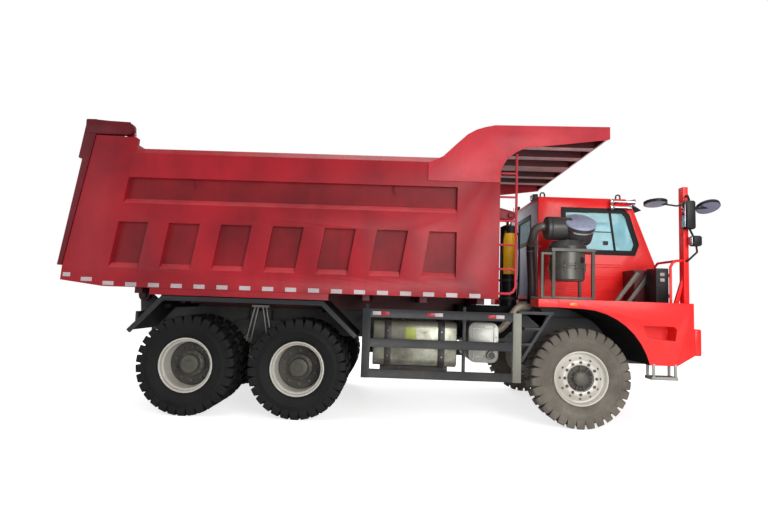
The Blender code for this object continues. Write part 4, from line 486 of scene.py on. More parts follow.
def rectangle(a, b, margin=0.0):
    """Corners of a rectangle from a[0] to a[1] across and b[0] to b[1] up, made smaller by the margin."""
    return [(a[0] + margin, b[0] + margin), (a[1] - margin, b[0] + margin),
            (a[1] - margin, b[1] - margin), (a[0] + margin, b[1] - margin)]


def offset(points, distance):
    """The outline moved sideways by a distance: outwards for a positive one."""
    area = sum(a[0] * b[1] - b[0] * a[1] for a, b in zip(points, points[1:] + points[:1]))
    turn = 1 if area > 0 else -1
    moved = []
    for before, here, after in zip(points[-1:] + points[:-1], points, points[1:] + points[:1]):
        arrive = Vector((here[0] - before[0], here[1] - before[1])).normalized()
        leave = Vector((after[0] - here[0], after[1] - here[1])).normalized()
        middle = (Vector((arrive.y, -arrive.x)) + Vector((leave.y, -leave.x))) * turn
        reach = distance * 2 / max(middle.length_squared, 0.5)
        moved.append((here[0] + middle.x * reach, here[1] + middle.y * reach))
    return moved


def spot(plane, pair, depth):
    """The place of an outline's point: the outline lies in one plane, the depth runs across it."""
    a, b = pair
    return {"xz": (a, depth, b), "yz": (depth, a, b), "xy": (a, b, depth)}[plane]


# %% [markdown]
# ### Walls between loops
# Plates, rings and tubes are all loops of points with walls between them. `add_walls`
# makes those walls once, so that the blocks only differ in where their loops run.

# %% Plates and rings
def add_walls(bm, loops, closed_pairs=False):
    """Faces between each loop and the next; closed_pairs also joins the last loop to the first."""
    pairs = list(zip(loops, loops[1:])) + ([(loops[-1], loops[0])] if closed_pairs else [])
    for first, second in pairs:
        for index in range(len(first)):
            after = (index + 1) % len(first)
            bm.faces.new((first[index], second[index], second[after], first[after]))


def add_plate(bm, outline, start, end, plane="xz"):
    loops = [[bm.verts.new(spot(plane, point, depth)) for point in outline] for depth in (start, end)]
    bm.faces.new(loops[0])
    bm.faces.new(loops[1][::-1])
    add_walls(bm, loops)


def add_box(bm, x, y, z):
    add_plate(bm, rectangle(x, z), y[0], y[1])


def add_frame(bm, outer, inner, start, end, plane="xz"):
    loops = [[bm.verts.new(spot(plane, point, depth)) for point in loop] for loop, depth in
             ((outer, start), (outer, end), (inner, end), (inner, start))]
    add_walls(bm, loops, closed_pairs=True)


def add_curved_plate(bm, centre, radius, thickness, angles, heights, steps):
    """A plate bent round an upright axis, between two angles in degrees and two heights."""
    columns = [math.radians(angles[0] + (angles[1] - angles[0]) * step / steps) for step in range(steps + 1)]
    sides = ((radius, heights[0]), (radius, heights[1]),
             (radius - thickness, heights[1]), (radius - thickness, heights[0]))
    strips = [[bm.verts.new((centre[0] + r * math.cos(a), centre[1] + r * math.sin(a), z)) for a in columns]
              for r, z in sides]
    for first, second in zip(strips, strips[1:] + strips[:1]):
        for step in range(steps):
            bm.faces.new((first[step], first[step + 1], second[step + 1], second[step]))
    for step in (0, steps):
        bm.faces.new([strip[step] for strip in strips])


# %% [markdown]
# ### Turned forms
# A lathe turns a section about an axis. The section is a list of (radius, along) points;
# a point with radius 0 lies on the axis and becomes one corner, so that no hole is left.

# %% Turned forms
def add_turned(bm, section, centre, axis="y", steps=24, closed=False, flip=1):
    """Turns the section about an axis through centre; flip mirrors the form along the axis."""
    rings = []
    for radius, along in section:
        ring = []
        for step in range(steps if radius > 0 else 1):
            angle = 2 * math.pi * step / steps
            a, b = radius * math.cos(angle), radius * math.sin(angle)
            corner = {"y": (a, along * flip, b), "z": (a, b, along * flip), "x": (along * flip, a, b)}[axis]
            ring.append(bm.verts.new(Vector(corner) + Vector(centre)))
        rings.append(ring)
    pairs = list(zip(rings, rings[1:])) + ([(rings[-1], rings[0])] if closed else [])
    for first, second in pairs:
        for step in range(steps):
            after = (step + 1) % steps
            corners = [first[step % len(first)], first[after % len(first)],
                       second[after % len(second)], second[step % len(second)]]
            corners = list(dict.fromkeys(corners))
            if len(corners) > 2:
                bm.faces.new(corners)


# %% [markdown]
# ### Tubes
# A hose is a round section swept along a smooth path. The section must not twist, so
# each ring keeps the direction of the one before it, turned only as far as the bend asks.

# %% Tubes
def smooth_path(points, steps=6):
    """Fills in a curve through the given points."""
    points = [Vector(point) for point in points]
    ends = [2 * points[0] - points[1]] + points + [2 * points[-1] - points[-2]]
    path = []
    for before, a, b, after in zip(ends, ends[1:], ends[2:], ends[3:]):
        for step in range(steps):
            t = step / steps
            path.append(0.5 * (2 * a + (b - before) * t + (2 * before - 5 * a + 4 * b - after) * t ** 2
                               + (3 * a - before - 3 * b + after) * t ** 3))
    return path + [points[-1]]


def add_tube(bm, points, radius, sides=10):
    """A round tube with closed ends; radius is one number, or one for each point."""
    points = [Vector(point) for point in points]
    radii = radius if isinstance(radius, list) else [radius] * len(points)
    side = None
    rings = []
    for index, point in enumerate(points):
        ahead = (points[min(index + 1, len(points) - 1)] - points[max(index - 1, 0)]).normalized()
        if side is None:
            side = ahead.orthogonal().normalized()
        side = (side - ahead * side.dot(ahead)).normalized()
        other = ahead.cross(side)
        rings.append([bm.verts.new(point + radii[index] * (math.cos(a) * side + math.sin(a) * other))
                      for a in (2 * math.pi * step / sides for step in range(sides))])
    add_walls(bm, rings)
    bm.faces.new(rings[0][::-1])
    bm.faces.new(rings[-1])


# %% [markdown]
# ## From mesh to piece
# A bmesh becomes an object with its faces turned outwards, its corners kept sharp where
# they really are, and its modifiers applied. Then it is tied to the body it moves with.

# %% Meshes and objects
def mesh_of(bm, name):
    mesh = bpy.data.meshes.new(name)
    bm.to_mesh(mesh)
    bm.free()
    return mesh


def placed(name, mesh):
    thing = bpy.data.objects.new(name, mesh)
    bpy.context.scene.collection.objects.link(thing)
    return thing


def plain(source, name):
    """Applies what the modifiers make, as a plain mesh."""
    bpy.context.view_layer.update()
    mesh = bpy.data.meshes.new_from_object(source.evaluated_get(bpy.context.evaluated_depsgraph_get()))
    bpy.data.objects.remove(source)
    mesh.name = name
    return placed(name, mesh)


def settled(piece, angle):
    """Smooth shading with the real corners kept sharp."""
    piece.data.shade_smooth()
    piece.data.set_sharp_from_angle(angle=math.radians(angle))


def tied(piece, body):
    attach(piece, body)
    return piece


# %% Finished piece
def finished(name, bm, material, body, bevel=0.0, angle=35):
    bmesh.ops.recalc_face_normals(bm, faces=bm.faces)
    piece = placed(name, mesh_of(bm, name))
    if bevel:
        edges = piece.modifiers.new("edges", "BEVEL")
        edges.width, edges.segments, edges.limit_method = bevel, 2, "ANGLE"
        piece = plain(piece, name)
    piece.data.materials.clear()
    piece.data.materials.append(material)
    settled(piece, angle)
    return tied(piece, body)


# %% [markdown]
# ### One-step pieces
# Many fittings are only a few boxes, one turned form or one tube. These three take the
# sizes and give the finished piece.

# %% One-step pieces
def blocks(name, boxes, material, body="chassis", bevel=0.0):
    """A piece of boxes, each given by its x, y and z range."""
    bm = bmesh.new()
    for x, y, z in boxes:
        add_box(bm, x, y, z)
    return finished(name, bm, material, body, bevel)


def turned(name, section, centre, material, body="chassis", axis="y", steps=24, closed=False, flip=1, angle=35):
    bm = bmesh.new()
    add_turned(bm, section, centre, axis, steps, closed, flip)
    return finished(name, bm, material, body, angle=angle)


def piped(name, points, radius, material, body="chassis", sides=10, angle=35):
    bm = bmesh.new()
    add_tube(bm, points, radius, sides)
    return finished(name, bm, material, body, angle=angle)


# %% [markdown]
# ## Softened parts
# Welded plate has small round edges that catch the light. A part of the frame stays as
# it is, so a copy is made: its doubled corners are merged, its flat triangles joined, and
# a Bevel rounds the edges. The copy then stands in for the part. Zones give some of its
# faces another finish, chosen by where a face is and which way it looks.

# %% Softened copy
EDGE_ANGLE = math.radians(38)


def softened(node, width, material, segments=2, zones=()):
    """A stand-in with rounded edges; each zone is a finish and a test of a face's place and direction."""
    bm = bmesh.new()
    bm.from_mesh(frame["nodes"][node].data)
    bmesh.ops.remove_doubles(bm, verts=bm.verts, dist=0.00002)
    bmesh.ops.dissolve_limit(bm, angle_limit=math.radians(0.5), verts=bm.verts, edges=bm.edges)
    source = placed(node + "_edges", mesh_of(bm, node))
    source.data.shade_smooth()
    edges = source.modifiers.new("edges", "BEVEL")
    edges.width, edges.segments, edges.limit_method = width, segments, "ANGLE"
    edges.angle_limit, edges.harden_normals = EDGE_ANGLE, True
    piece = plain(source, node + "_shape")
    piece.data.materials.clear()
    piece.data.materials.append(material)
    for index, (other, test) in enumerate(zones):
        piece.data.materials.append(other)
        for face in piece.data.polygons:
            if test(face.center, face.normal):
                face.material_index = index + 1
    tied(piece, body_of[node])
    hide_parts(node)
    return piece


def dressed(node, material):
    """A part whose own shape is right only gets its finish."""
    part = frame["nodes"][node]
    part.data.materials.clear()
    part.data.materials.append(material)


# %% [markdown]
# ## Trees that repeat
# Lugs, bolts, bars and strips repeat. Geometry Nodes makes the copies from one shape:
# one tree sets them round an axle, the other sets them in a row. Their sizes are named
# inputs, so one tree serves every ring of bolts on the truck.

# %% What both trees share
def copying_tree(name, places):
    """Copies the given shape onto the points of a line, joins the copies and gives them a finish."""
    tree = bpy.data.node_groups.new(name, "GeometryNodeTree")
    sockets = [("Geometry", "Geometry"), ("Count", "Int")] + places + [("Finish", "Material")]
    for title, kind in sockets:
        tree.interface.new_socket(title, in_out="INPUT", socket_type="NodeSocket" + kind)
    tree.interface.new_socket("Geometry", in_out="OUTPUT", socket_type="NodeSocketGeometry")
    add, link = tree.nodes.new, tree.links.new
    given, result = add("NodeGroupInput"), add("NodeGroupOutput")
    line, put = add("GeometryNodeMeshLine"), add("GeometryNodeInstanceOnPoints")
    real, paint = add("GeometryNodeRealizeInstances"), add("GeometryNodeSetMaterial")
    link(given.outputs["Count"], line.inputs["Count"])
    link(line.outputs[0], put.inputs["Points"])
    link(given.outputs["Geometry"], put.inputs["Instance"])
    link(put.outputs[0], real.inputs[0])
    link(given.outputs["Finish"], paint.inputs["Material"])
    link(paint.outputs[0], result.inputs[0])
    return tree, given, line, put, real, paint


# %% [markdown]
# ### Round an axle, and in a row
# In the ring all copies start on one point at the middle. Each is turned about Y by its
# index times a full turn over the count, and the whole ring is then moved to the axle.
# In the row the line itself has a start and a step.

# %% The two trees
def ring_tree():
    tree, given, line, put, real, paint = copying_tree("copies_round_axle", [("Centre", "Vector")])
    add, link = tree.nodes.new, tree.links.new
    index, step, share = add("GeometryNodeInputIndex"), add("ShaderNodeMath"), add("ShaderNodeMath")
    turn, move = add("ShaderNodeCombineXYZ"), add("GeometryNodeTransform")
    line.inputs["Offset"].default_value = (0, 0, 0)
    step.operation, share.operation = "DIVIDE", "MULTIPLY"
    step.inputs[0].default_value = 2 * math.pi
    link(given.outputs["Count"], step.inputs[1])
    link(index.outputs[0], share.inputs[0])
    link(step.outputs[0], share.inputs[1])
    link(share.outputs[0], turn.inputs["Y"])
    link(turn.outputs[0], put.inputs["Rotation"])
    link(real.outputs[0], move.inputs["Geometry"])
    link(given.outputs["Centre"], move.inputs["Translation"])
    link(move.outputs[0], paint.inputs["Geometry"])
    return tree


def row_tree():
    places = [("Start", "Vector"), ("Step", "Vector")]
    tree, given, line, put, real, paint = copying_tree("copies_in_row", places)
    tree.links.new(given.outputs["Start"], line.inputs["Start Location"])
    tree.links.new(given.outputs["Step"], line.inputs["Offset"])
    tree.links.new(real.outputs[0], paint.inputs["Geometry"])
    return tree


RING, ROW = ring_tree(), row_tree()
print("trees:", RING.name, ROW.name)

# %% [markdown]
# ### Running a tree
# A modifier's input goes by its socket's identifier, not its name, and is set before the
# object is first evaluated. The result is taken as a plain mesh.

# %% Running a tree
def repeated(name, tree, bm, body, material, angle=35, **inputs):
    """Runs a tree on the shape in bm."""
    bmesh.ops.recalc_face_normals(bm, faces=bm.faces)
    source = bpy.data.objects.new(name + "_one", mesh_of(bm, name))
    modifier = source.modifiers.new("copies", "NODES")
    modifier.node_group = tree
    sockets = {item.name: item.identifier for item in tree.interface.items_tree if item.in_out == "INPUT"}
    for title, value in dict(inputs, Finish=material).items():
        modifier[sockets[title]] = value
    bpy.context.scene.collection.objects.link(source)
    piece = plain(source, name)
    settled(piece, angle)
    return tied(piece, body)


print("ready to repeat")

# %% [markdown]
# ## Tyres
# A mining tyre has deep shoulder lugs with wedge-shaped grooves that run down the
# sidewall. Cutting thirty grooves would leave a messy mesh, so the carcass is turned
# from its section, and one lug, a block that narrows towards the tread, is copied round
# it by the ring tree. A lug reaches only to the middle, and the other side's lugs sit
# half a step further round.

# %% Tyre carcass
LUGS = 30
TYRE_HALF = 0.1875
TYRE_RADIUS = axle_z - 0.001
SECTION_RADIUS = 0.667
BEAD_RADIUS = 0.40
GROOVE_DEPTH = 0.040
SCALE = TYRE_RADIUS / SECTION_RADIUS
SIDE_WALL = [(0.350, 0.150), (0.362, 0.158), (0.376, 0.161), (0.386, 0.153), (0.42, 0.169), (0.465, 0.181),
             (0.484, 0.1835), (0.489, 0.187), (0.496, 0.187), (0.501, 0.1835), (0.538, 0.1815), (0.572, 0.168),
             (0.600, 0.152), (0.618, 0.125)]


def carcass_section(middle):
    crown = [(TYRE_RADIUS - GROOVE_DEPTH, 0.06), (TYRE_RADIUS - GROOVE_DEPTH, -0.06)]
    half = [(radius * SCALE if radius > BEAD_RADIUS else radius, along) for radius, along in SIDE_WALL]
    section = half + crown + [(radius, -along) for radius, along in half[::-1]]
    return [(radius, along + middle) for radius, along in section]


def tyre_face(node):
    """How far a wheel's outer face stands from the truck's middle line."""
    return max(abs(low(node).y), abs(high(node).y))


# %% [markdown]
# ### One lug
# The lug's section is drawn once from the sidewall up to the tread and back inside. Each
# of its points also has a width, and a slant that leans the lug like the real tread.

# %% One lug
LUG_SECTION = [(0.545, 0.1835), (0.585, 0.1870), (0.625, 0.1868), (0.652, 0.178), (0.667, 0.158),
               (0.667, 0.012), (0.616, 0.010), (0.580, 0.13)]
LUG_WIDTHS = [0.1130, 0.1100, 0.1030, 0.0980, 0.0950, 0.084, 0.096, 0.108]
LUG_SLANT = 0.22
CROWN_DROP = 0.012


def lug_block(flip, turn):
    """One lug above the axle, on the side of the tyre that flip points to."""
    bm = bmesh.new()
    rings = []
    for sign in (-1, 1):
        ring = []
        for (drawn, along), width in zip(LUG_SECTION, LUG_WIDTHS):
            on_crown = drawn == SECTION_RADIUS and along < 0.1
            radius = drawn * SCALE - (CROWN_DROP if on_crown else 0)
            slant = (0.15 - along) * LUG_SLANT * flip * turn
            angle = (sign * width * SCALE / 2 + slant) / radius
            ring.append(bm.verts.new((math.sin(angle) * radius, along, math.cos(angle) * radius)))
        rings.append(ring)
    bm.faces.new(rings[0])
    bm.faces.new(rings[1][::-1])
    add_walls(bm, rings)
    return bm


# %% A whole tyre
def tyre(name, body, node, middle, material, side):
    """Carcass and both rows of lugs; middle is the distance of the tyre's middle from the truck's."""
    centre = ((low(node).x + high(node).x) / 2, 0, axle_z)
    pieces = [turned(name + "_carcass", carcass_section(side * middle), centre, material, body,
                     steps=72, closed=True, angle=30)]
    for row, flip in (("outer", 1), ("inner", -1)):
        lug = lug_block(flip, side)
        for corner in lug.verts:
            corner.co.y = corner.co.y * flip * side + side * middle
        if row == "inner":
            half_step = Matrix.Rotation(math.pi / LUGS, 3, "Y")
            bmesh.ops.rotate(lug, verts=lug.verts, cent=(0, 0, 0), matrix=half_step)
        pieces.append(repeated(f"{name}_{row}_lugs", RING, lug, body, material, angle=25,
                               Count=LUGS, Centre=centre))
    for piece in pieces:
        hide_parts(node)


# %% [markdown]
# ### All ten tyres
# The front wheels have one tyre each. The four rear wheels are twins: two tyres on one
# hub, which turn together as one body.

# %% All ten tyres
TWIN_STEP = 0.42
for side_title, side in SIDES.items():
    node = f"front_tyre_{side_title}"
    tyre(f"front_{side_title}", f"front_wheel_{side_title}", node, tyre_face(node) - TYRE_HALF,
         front_rubber, side)
    for axle in ("middle", "rear"):
        node, body = f"{axle}_{side_title}_tyres", f"{axle}_wheel_{side_title}"
        outer_middle = tyre_face(node) - TYRE_HALF
        for position, middle in (("outer", outer_middle), ("inner", outer_middle - TWIN_STEP)):
            tyre(f"{axle}_{side_title}_{position}", body, node, middle, rear_rubber, side)
print("ten tyres with", LUGS * 2, "lugs each")

# %% [markdown]
# ## Rims
# The front rim bulges outwards: a ring of vent holes, a ring of nuts, a dark recess with
# ribs and a domed cap. The rear rims are deep, with a double bright lip, and the hub
# stands far inside. Both are turned forms; the nuts, holes and ribs are ring copies.

# %% Small wheel parts
def hex_nut(radius, height, place_radius, along, flip):
    """A nut with a washer foot and a smaller top, standing at place_radius above the axle."""
    bm = bmesh.new()
    for across_corners, start, end in ((radius * 1.35, 0, height * 0.25), (radius, height * 0.25, height)):
        outline = [(place_radius + y, x) for x, y in arc((0, 0), across_corners, 0, 300, 6)]
        foot = [(x, z) for z, x in outline]
        add_plate(bm, foot, flip * (along + start), flip * (along + end - 0.002))
        add_plate(bm, offset(foot, -0.12 * across_corners), flip * (along + start), flip * (along + end))
    return bm


def round_spot(radius, place_radius, start, end, flip, sides=14):
    bm = bmesh.new()
    outline = arc((0, place_radius), radius, 0, 360 * (sides - 1) / sides, sides)
    add_plate(bm, outline, flip * start, flip * end)
    return bm


def on_wheel(name, bm, count, centre, body, material):
    """Moves a small part out to the wheel's middle plane and copies it round the axle."""
    bmesh.ops.translate(bm, verts=bm.verts, vec=(0, centre[1], 0))
    repeated(name, RING, bm, body, material, Count=count, Centre=(centre[0], 0, centre[2]))


# %% [markdown]
# ### Front rims
# The section runs from the outer lip, in over the bulge and the bolt face, and back
# along the inside to the inner lip.

# %% Front rims
FRONT_RIM = [(0.350, 0.140), (0.356, 0.158), (0.364, 0.166), (0.362, 0.173), (0.350, 0.173), (0.340, 0.160),
             (0.335, 0.128), (0.324, 0.108), (0.308, 0.102), (0.290, 0.110), (0.262, 0.130), (0.242, 0.144),
             (0.232, 0.148), (0.192, 0.148), (0.180, 0.142), (0.176, 0.112), (0.10, 0.110), (0.0, 0.110),
             (0.0, -0.02), (0.20, -0.02), (0.31, 0.02), (0.330, -0.10), (0.340, -0.165), (0.350, -0.165)]
FRONT_RECESS = [(0.0, 0.108), (0.174, 0.108), (0.174, 0.1125), (0.118, 0.1135), (0, 0.1135)]
FRONT_CAP = [(0.0, 0.110), (0.108, 0.110), (0.110, 0.124), (0.102, 0.134), (0.100, 0.158), (0.092, 0.170),
             (0.070, 0.180), (0.035, 0.186), (0.0, 0.187)]
for side_title, side in SIDES.items():
    node, body = f"front_rim_{side_title}", f"front_wheel_{side_title}"
    centre = (front_axle_x, side * (tyre_face(f"front_tyre_{side_title}") - TYRE_HALF), axle_z)
    rim = turned(node + "_turned", FRONT_RIM, centre, rim_silver, body, steps=48, closed=True,
                 flip=side, angle=28)
    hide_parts(node)
    nut = hex_nut(0.017, 0.022, 0.212, 0.147, side)
    on_wheel(f"{node}_nuts", nut, 12, centre, body, hub_khaki)
    vent = round_spot(0.016, 0.266, 0.115, 0.1305, side)
    on_wheel(f"{node}_vents", vent, 12, centre, body, soft_black)
    turned(f"{node}_recess", FRONT_RECESS, centre, soft_black, body, steps=36, flip=side)
    rib = bmesh.new()
    add_box(rib, (-0.006, 0.006), (side * 0.110, side * 0.134), (0.10, 0.172))
    on_wheel(f"{node}_ribs", rib, 9, centre, body, hub_khaki)
    turned(f"{node}_cap", FRONT_CAP, centre, hub_khaki, body, steps=36, flip=side, angle=50)
    cap_bolt = hex_nut(0.007, 0.008, 0.078, 0.172, side)
    on_wheel(f"{node}_cap_bolts", cap_bolt, 6, centre, body, soft_black)
print("front rims built")

# %% [markdown]
# ### Rear rims
# One deep shell carries both tyres. A dark disc closes it, and the hub's stepped drum
# stands on the disc with its nuts, flange bolts and two plugs.

# %% Rear rims
REAR_RIM = [(0.350, 0.345), (0.356, 0.358), (0.364, 0.362), (0.364, 0.370), (0.352, 0.372), (0.344, 0.366),
            (0.338, 0.345), (0.336, 0.325), (0.328, 0.316), (0.320, 0.318), (0.314, 0.312), (0.309, 0.290),
            (0.306, 0.15), (0.300, 0.118), (0.285, 0.104), (0.26, 0.10), (0.0, 0.10), (0.0, 0.03), (0.27, 0.03),
            (0.310, 0.0), (0.318, -0.30), (0.338, -0.34), (0.345, -0.364), (0.350, -0.364)]
REAR_DISC = [(0.0, 0.095), (0.299, 0.095), (0.301, 0.122), (0.286, 0.108), (0.26, 0.104), (0.0, 0.104)]
REAR_HUB = [(0.0, 0.09), (0.176, 0.09), (0.178, 0.128), (0.170, 0.137), (0.140, 0.142), (0.128, 0.150),
            (0.126, 0.222), (0.118, 0.236), (0.100, 0.243), (0.060, 0.244), (0.056, 0.239), (0.0, 0.239)]
for side_title, side in SIDES.items():
    for axle in ("middle", "rear"):
        node, body = f"{axle}_{side_title}_rim", f"{axle}_wheel_{side_title}"
        pair_middle = tyre_face(f"{axle}_{side_title}_tyres") - TYRE_HALF - TWIN_STEP / 2
        centre = ((low(node).x + high(node).x) / 2, side * pair_middle, axle_z)
        rim = turned(node + "_turned", REAR_RIM, centre, rim_silver, body, steps=48, closed=True,
                     flip=side, angle=28)
        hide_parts(node)
        turned(f"{node}_disc", REAR_DISC, centre, rim_dark, body, steps=48, flip=side, angle=28)
        turned(f"{node}_hub", REAR_HUB, centre, hub_khaki, body, steps=40, flip=side)
        nut = hex_nut(0.018, 0.034, 0.232, 0.103, side)
        on_wheel(f"{node}_nuts", nut, 10, centre, body, frame_grey)
        flange_bolt = hex_nut(0.008, 0.010, 0.153, 0.139, side)
        on_wheel(f"{node}_flange_bolts", flange_bolt, 12, centre, body, soft_black)
        plug = round_spot(0.009, 0.052, 0.236, 0.2435, side, 10)
        on_wheel(f"{node}_plugs", plug, 2, centre, body, soft_black)
print("rear rims built")

# %% [markdown]
# ## The bed
# The bed's walls are pressed and welded plate with deep recesses. The shape is already
# right, so the walls are softened copies, and the recesses' floors get a darker red as painted shade.
# Pale reflecting strips run along the lower edge, one row copy for each side.

# %% Bed panels
RECESS_FLOOR = 1.575
roof_z = high("canopy").z


def in_recess(place, way):
    return 1.55 < abs(place.y) < 1.60 and abs(way.y) > 0.9


def under_canopy(place, way):
    return place.z < roof_z - 0.03 and abs(place.y) < 1.642 and way.z < 0.3 and way.x < 0.9


# Downward faces of the canopy's ribs get the pale painted reflection.
def on_canopy_rib(place, way):
    return place.z < roof_z - 0.15 and abs(place.y) < 1.25 and way.z < -0.9


# Zones paint shade and reflection: the recess floors and the gate get darker reds as painted shade, the
# canopy's underside the maroon red-in-shade, the undersides of its ribs a pale painted reflection, and the
# ladder the lighter lit red.
BED_PANELS = (
    ("bed_side_right", bed_red_shaded, 0.006, [(recess_red_painted_shade, in_recess)]),
    ("bed_side_left", bed_red_shaded, 0.006, [(recess_red_painted_shade, in_recess)]),
    ("bed_front_wall", bed_red_shaded, 0.005, ()),
    ("canopy", canopy_red_lit, 0.003, [(maroon_painted_shade, under_canopy), (rib_painted_reflection, on_canopy_rib)]),
    ("bed_floor", maroon_painted_shade, 0.004, ()),
    ("tailgate", gate_red_painted_shade, 0.006, ()),
    ("bed_ladder", canopy_red_lit, 0.002, ()),
)
for node, material, width, zones in BED_PANELS:
    piece = softened(node, width, material, zones=zones)
    print(node, len(piece.data.polygons), "faces")

# %% [markdown]
# ### Sloping sills
# Each recess ends in a sloping sill that sheds stones and catches the light; its lighter red
# is a painted highlight as well. The corners of the recess floors are read from the panel itself,
# and a wedge is laid in each.

# %% Sills of the recesses
SILL_RISE = 0.075
SILL_FACE = 1.643


def recess_sills(node, side):
    corners = sorted({(round(v.co.x, 3), round(v.co.z, 3)) for v in frame["nodes"][node].data.vertices
                      if abs(abs(v.co.y) - RECESS_FLOOR) < 0.002})
    heights = sorted({z for x, z in corners})
    back = side * (RECESS_FLOOR - 0.004)
    face = side * SILL_FACE
    bm = bmesh.new()
    for z in (heights[0], heights[2]):
        wedge = [(back, z - 0.002), (face, z - 0.002), (face, z + 0.003), (back, z + SILL_RISE)]
        row = [x for x, height in corners if height == z]
        for left, right in zip(row[::2], row[1::2]):
            add_plate(bm, wedge, left + 0.001, right - 0.001, "yz")
    # The sills take the canopy's lighter red as a painted highlight.
    finished(node + "_sills", bm, canopy_red_lit, "bed")
    return len(heights)


for side_title, side in SIDES.items():
    print(recess_sills(f"bed_side_{side_title}", side), "levels of recess corners")

# %% Hooks and arm covers
GATE_ARM = [(-4.28, 3.99), (-3.66, 3.965), (-3.645, 3.83), (-3.70, 3.80), (-3.86, 3.805), (-4.05, 3.80),
            (-4.28, 3.80)]
bm = bmesh.new()
for side in (RIGHT, LEFT):
    for x in (-2.72, 0.02):
        hook = [(x, side * 1.60, 3.20), (x, side * 1.635, 3.17), (x + 0.03, side * 1.645, 3.06)]
        add_tube(bm, hook, 0.008, 6)
# The hooks and the arm covers take the gate's darker red: painted shade.
finished("recess_hooks", bm, gate_red_painted_shade, "bed")
bm = bmesh.new()
for side in (RIGHT, LEFT):
    add_plate(bm, GATE_ARM, side * 1.652, side * 1.660)
finished("gate_arm_covers", bm, gate_red_painted_shade, "tailgate", bevel=0.002)
print("hooks and arm covers hung")

# %% Reflecting strips
TAIL_STRIPS = ((-3.81, 1.730, 0.075), (-4.11, 1.775, 0.075), (-4.385, 1.83, 0.05))
bed_face = abs(low("bed_side_right").y)
for side_title, side in SIDES.items():
    strip_y = across(side, bed_face - 0.002, bed_face + 0.004)
    bm = bmesh.new()
    add_box(bm, (-0.075, 0.075), strip_y, (-0.028, 0.028))
    repeated(f"bed_strips_{side_title}", ROW, bm, "bed", marker_white, Count=16,
             Start=(-3.50, 0, 1.722), Step=(0.31, 0, 0))
    tail = [((x - half, x + half), strip_y, (z - 0.027, z + 0.027)) for x, z, half in TAIL_STRIPS]
    blocks(f"bed_tail_strips_{side_title}", tail, marker_white, "bed", bevel=0.001)
print("strips on the bed's face at", round(bed_face, 3))

# %% [markdown]
# ## The cab
# The cab is the brightest piece, its red brightened as painted sunlight: glossy red sheet
# with three pressed crease lines, thick black rubber round each pane, and small fittings.
# The shell is a softened copy. The rubber is a frame between two outlines, which follows
# the window's own shape.

# %% Cab shell and door
def inside_cab(place, way):
    behind_windscreen = way.x < 0.3 or place.x < 2.6
    return behind_windscreen and 2.345 < place.x and -0.52 < place.y < 1.60 and 1.765 < place.z < 3.30


def on_roof(place, way):
    return way.z > 0.8 and place.z > 3.2


def inside_door(place, way):
    return way.y < -0.9


def under_fender(place, way):
    reach = math.hypot(place.x - front_axle_x, place.z - axle_z)
    return (reach < 0.95 and abs(way.y) < 0.5) or (way.z < -0.9 and place.z > 1.5)


def on_steps(place, way):
    return place.z < axle_z + 0.205


def behind_post(place, way):
    return way.x < -0.9 and place.z > deck_z + 0.62 and place.y < -1.3


def on_post_top(place, way):
    return way.z > 0.9 and place.z > deck_z + 1.55


# Inside and under the fender's arch the deep black is painted shade; the steps get their own grey.
FENDER_ZONES = [(deep_black_and_shade, under_fender), (step_grey, on_steps)]
CAB_PANELS = (
    ("cab_shell", 0.014, [(cab_lining, inside_cab), (cab_top_red, on_roof)]),
    ("cab_door", 0.006, [(cab_lining, inside_door)]),
    ("fender_right", 0.012, FENDER_ZONES),
    ("fender_left", 0.012, FENDER_ZONES),
    ("front_bumper", 0.006, ()),
    # The mirror post's back faces get the maroon as painted shade.
    ("deck_rails", 0.003, [(maroon_painted_shade, behind_post), (soft_black, on_post_top)]),
)
for node, width, zones in CAB_PANELS:
    softened(node, width, cab_red_sunlit, 3, zones)
for node in ("windscreen", "right_window", "rear_window", "door_glass"):
    dressed(node, glass)
print("cab", [round(value, 3) for value in cab_high - cab_low])

# %% [markdown]
# ### Rubber round the panes
# The outline of a pane is read from its own corners, put in order round its middle.

# %% Rubber round the panes
def pane_outline(node, first, second):
    """The corners of a pane in order round its middle, seen along the axis that is left out."""
    points = {(round(v.co[first], 3), round(v.co[second], 3)) for v in frame["nodes"][node].data.vertices}
    middle = Vector((sum(p[0] for p in points) / len(points), sum(p[1] for p in points) / len(points)))
    return sorted(points, key=lambda p: math.atan2(p[1] - middle.y, p[0] - middle.x))


def rubber_frame(name, outline, start, end, body, plane="xz", out=0.045, inside=0.032):
    bm = bmesh.new()
    add_frame(bm, offset(outline, out), offset(outline, -inside), start, end, plane)
    return finished(name, bm, rubber, body, bevel=0.004)


side_pane = pane_outline("right_window", 0, 2)
rubber_frame("right_window_rubber", side_pane, cab_right_y - 0.008, cab_right_y + 0.024, "chassis")
rubber_frame("door_window_rubber", pane_outline("door_glass", 0, 2), cab_left_y - 0.036, cab_left_y + 0.008,
             "cab_door", out=0.02, inside=0.012)
rubber_frame("rear_window_rubber", pane_outline("rear_window", 1, 2), cab_low.x - 0.006, cab_low.x + 0.026,
             "chassis", plane="yz")
print("side pane corners:", len(side_pane))

# %% [markdown]
# ### Windscreen rubber
# The windscreen leans, so its rubber is made upright and then sheared to the glass.

# %% Windscreen rubber
screen_low, screen_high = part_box("windscreen")
lean = (screen_high.x - screen_low.x - 0.008) / (screen_high.z - screen_low.z)
corners = rectangle((screen_low.y, screen_high.y), (screen_low.z, screen_high.z))
bm = bmesh.new()
add_frame(bm, offset(corners, 0.035), offset(corners, -0.03), -0.006, 0.032, "yz")
for corner in bm.verts:
    corner.co.x += screen_high.x - lean * (corner.co.z - screen_low.z) - 0.012
finished("windscreen_rubber", bm, rubber, "chassis", bevel=0.004)
print("windscreen leans back", round(lean, 3), "for each metre up")

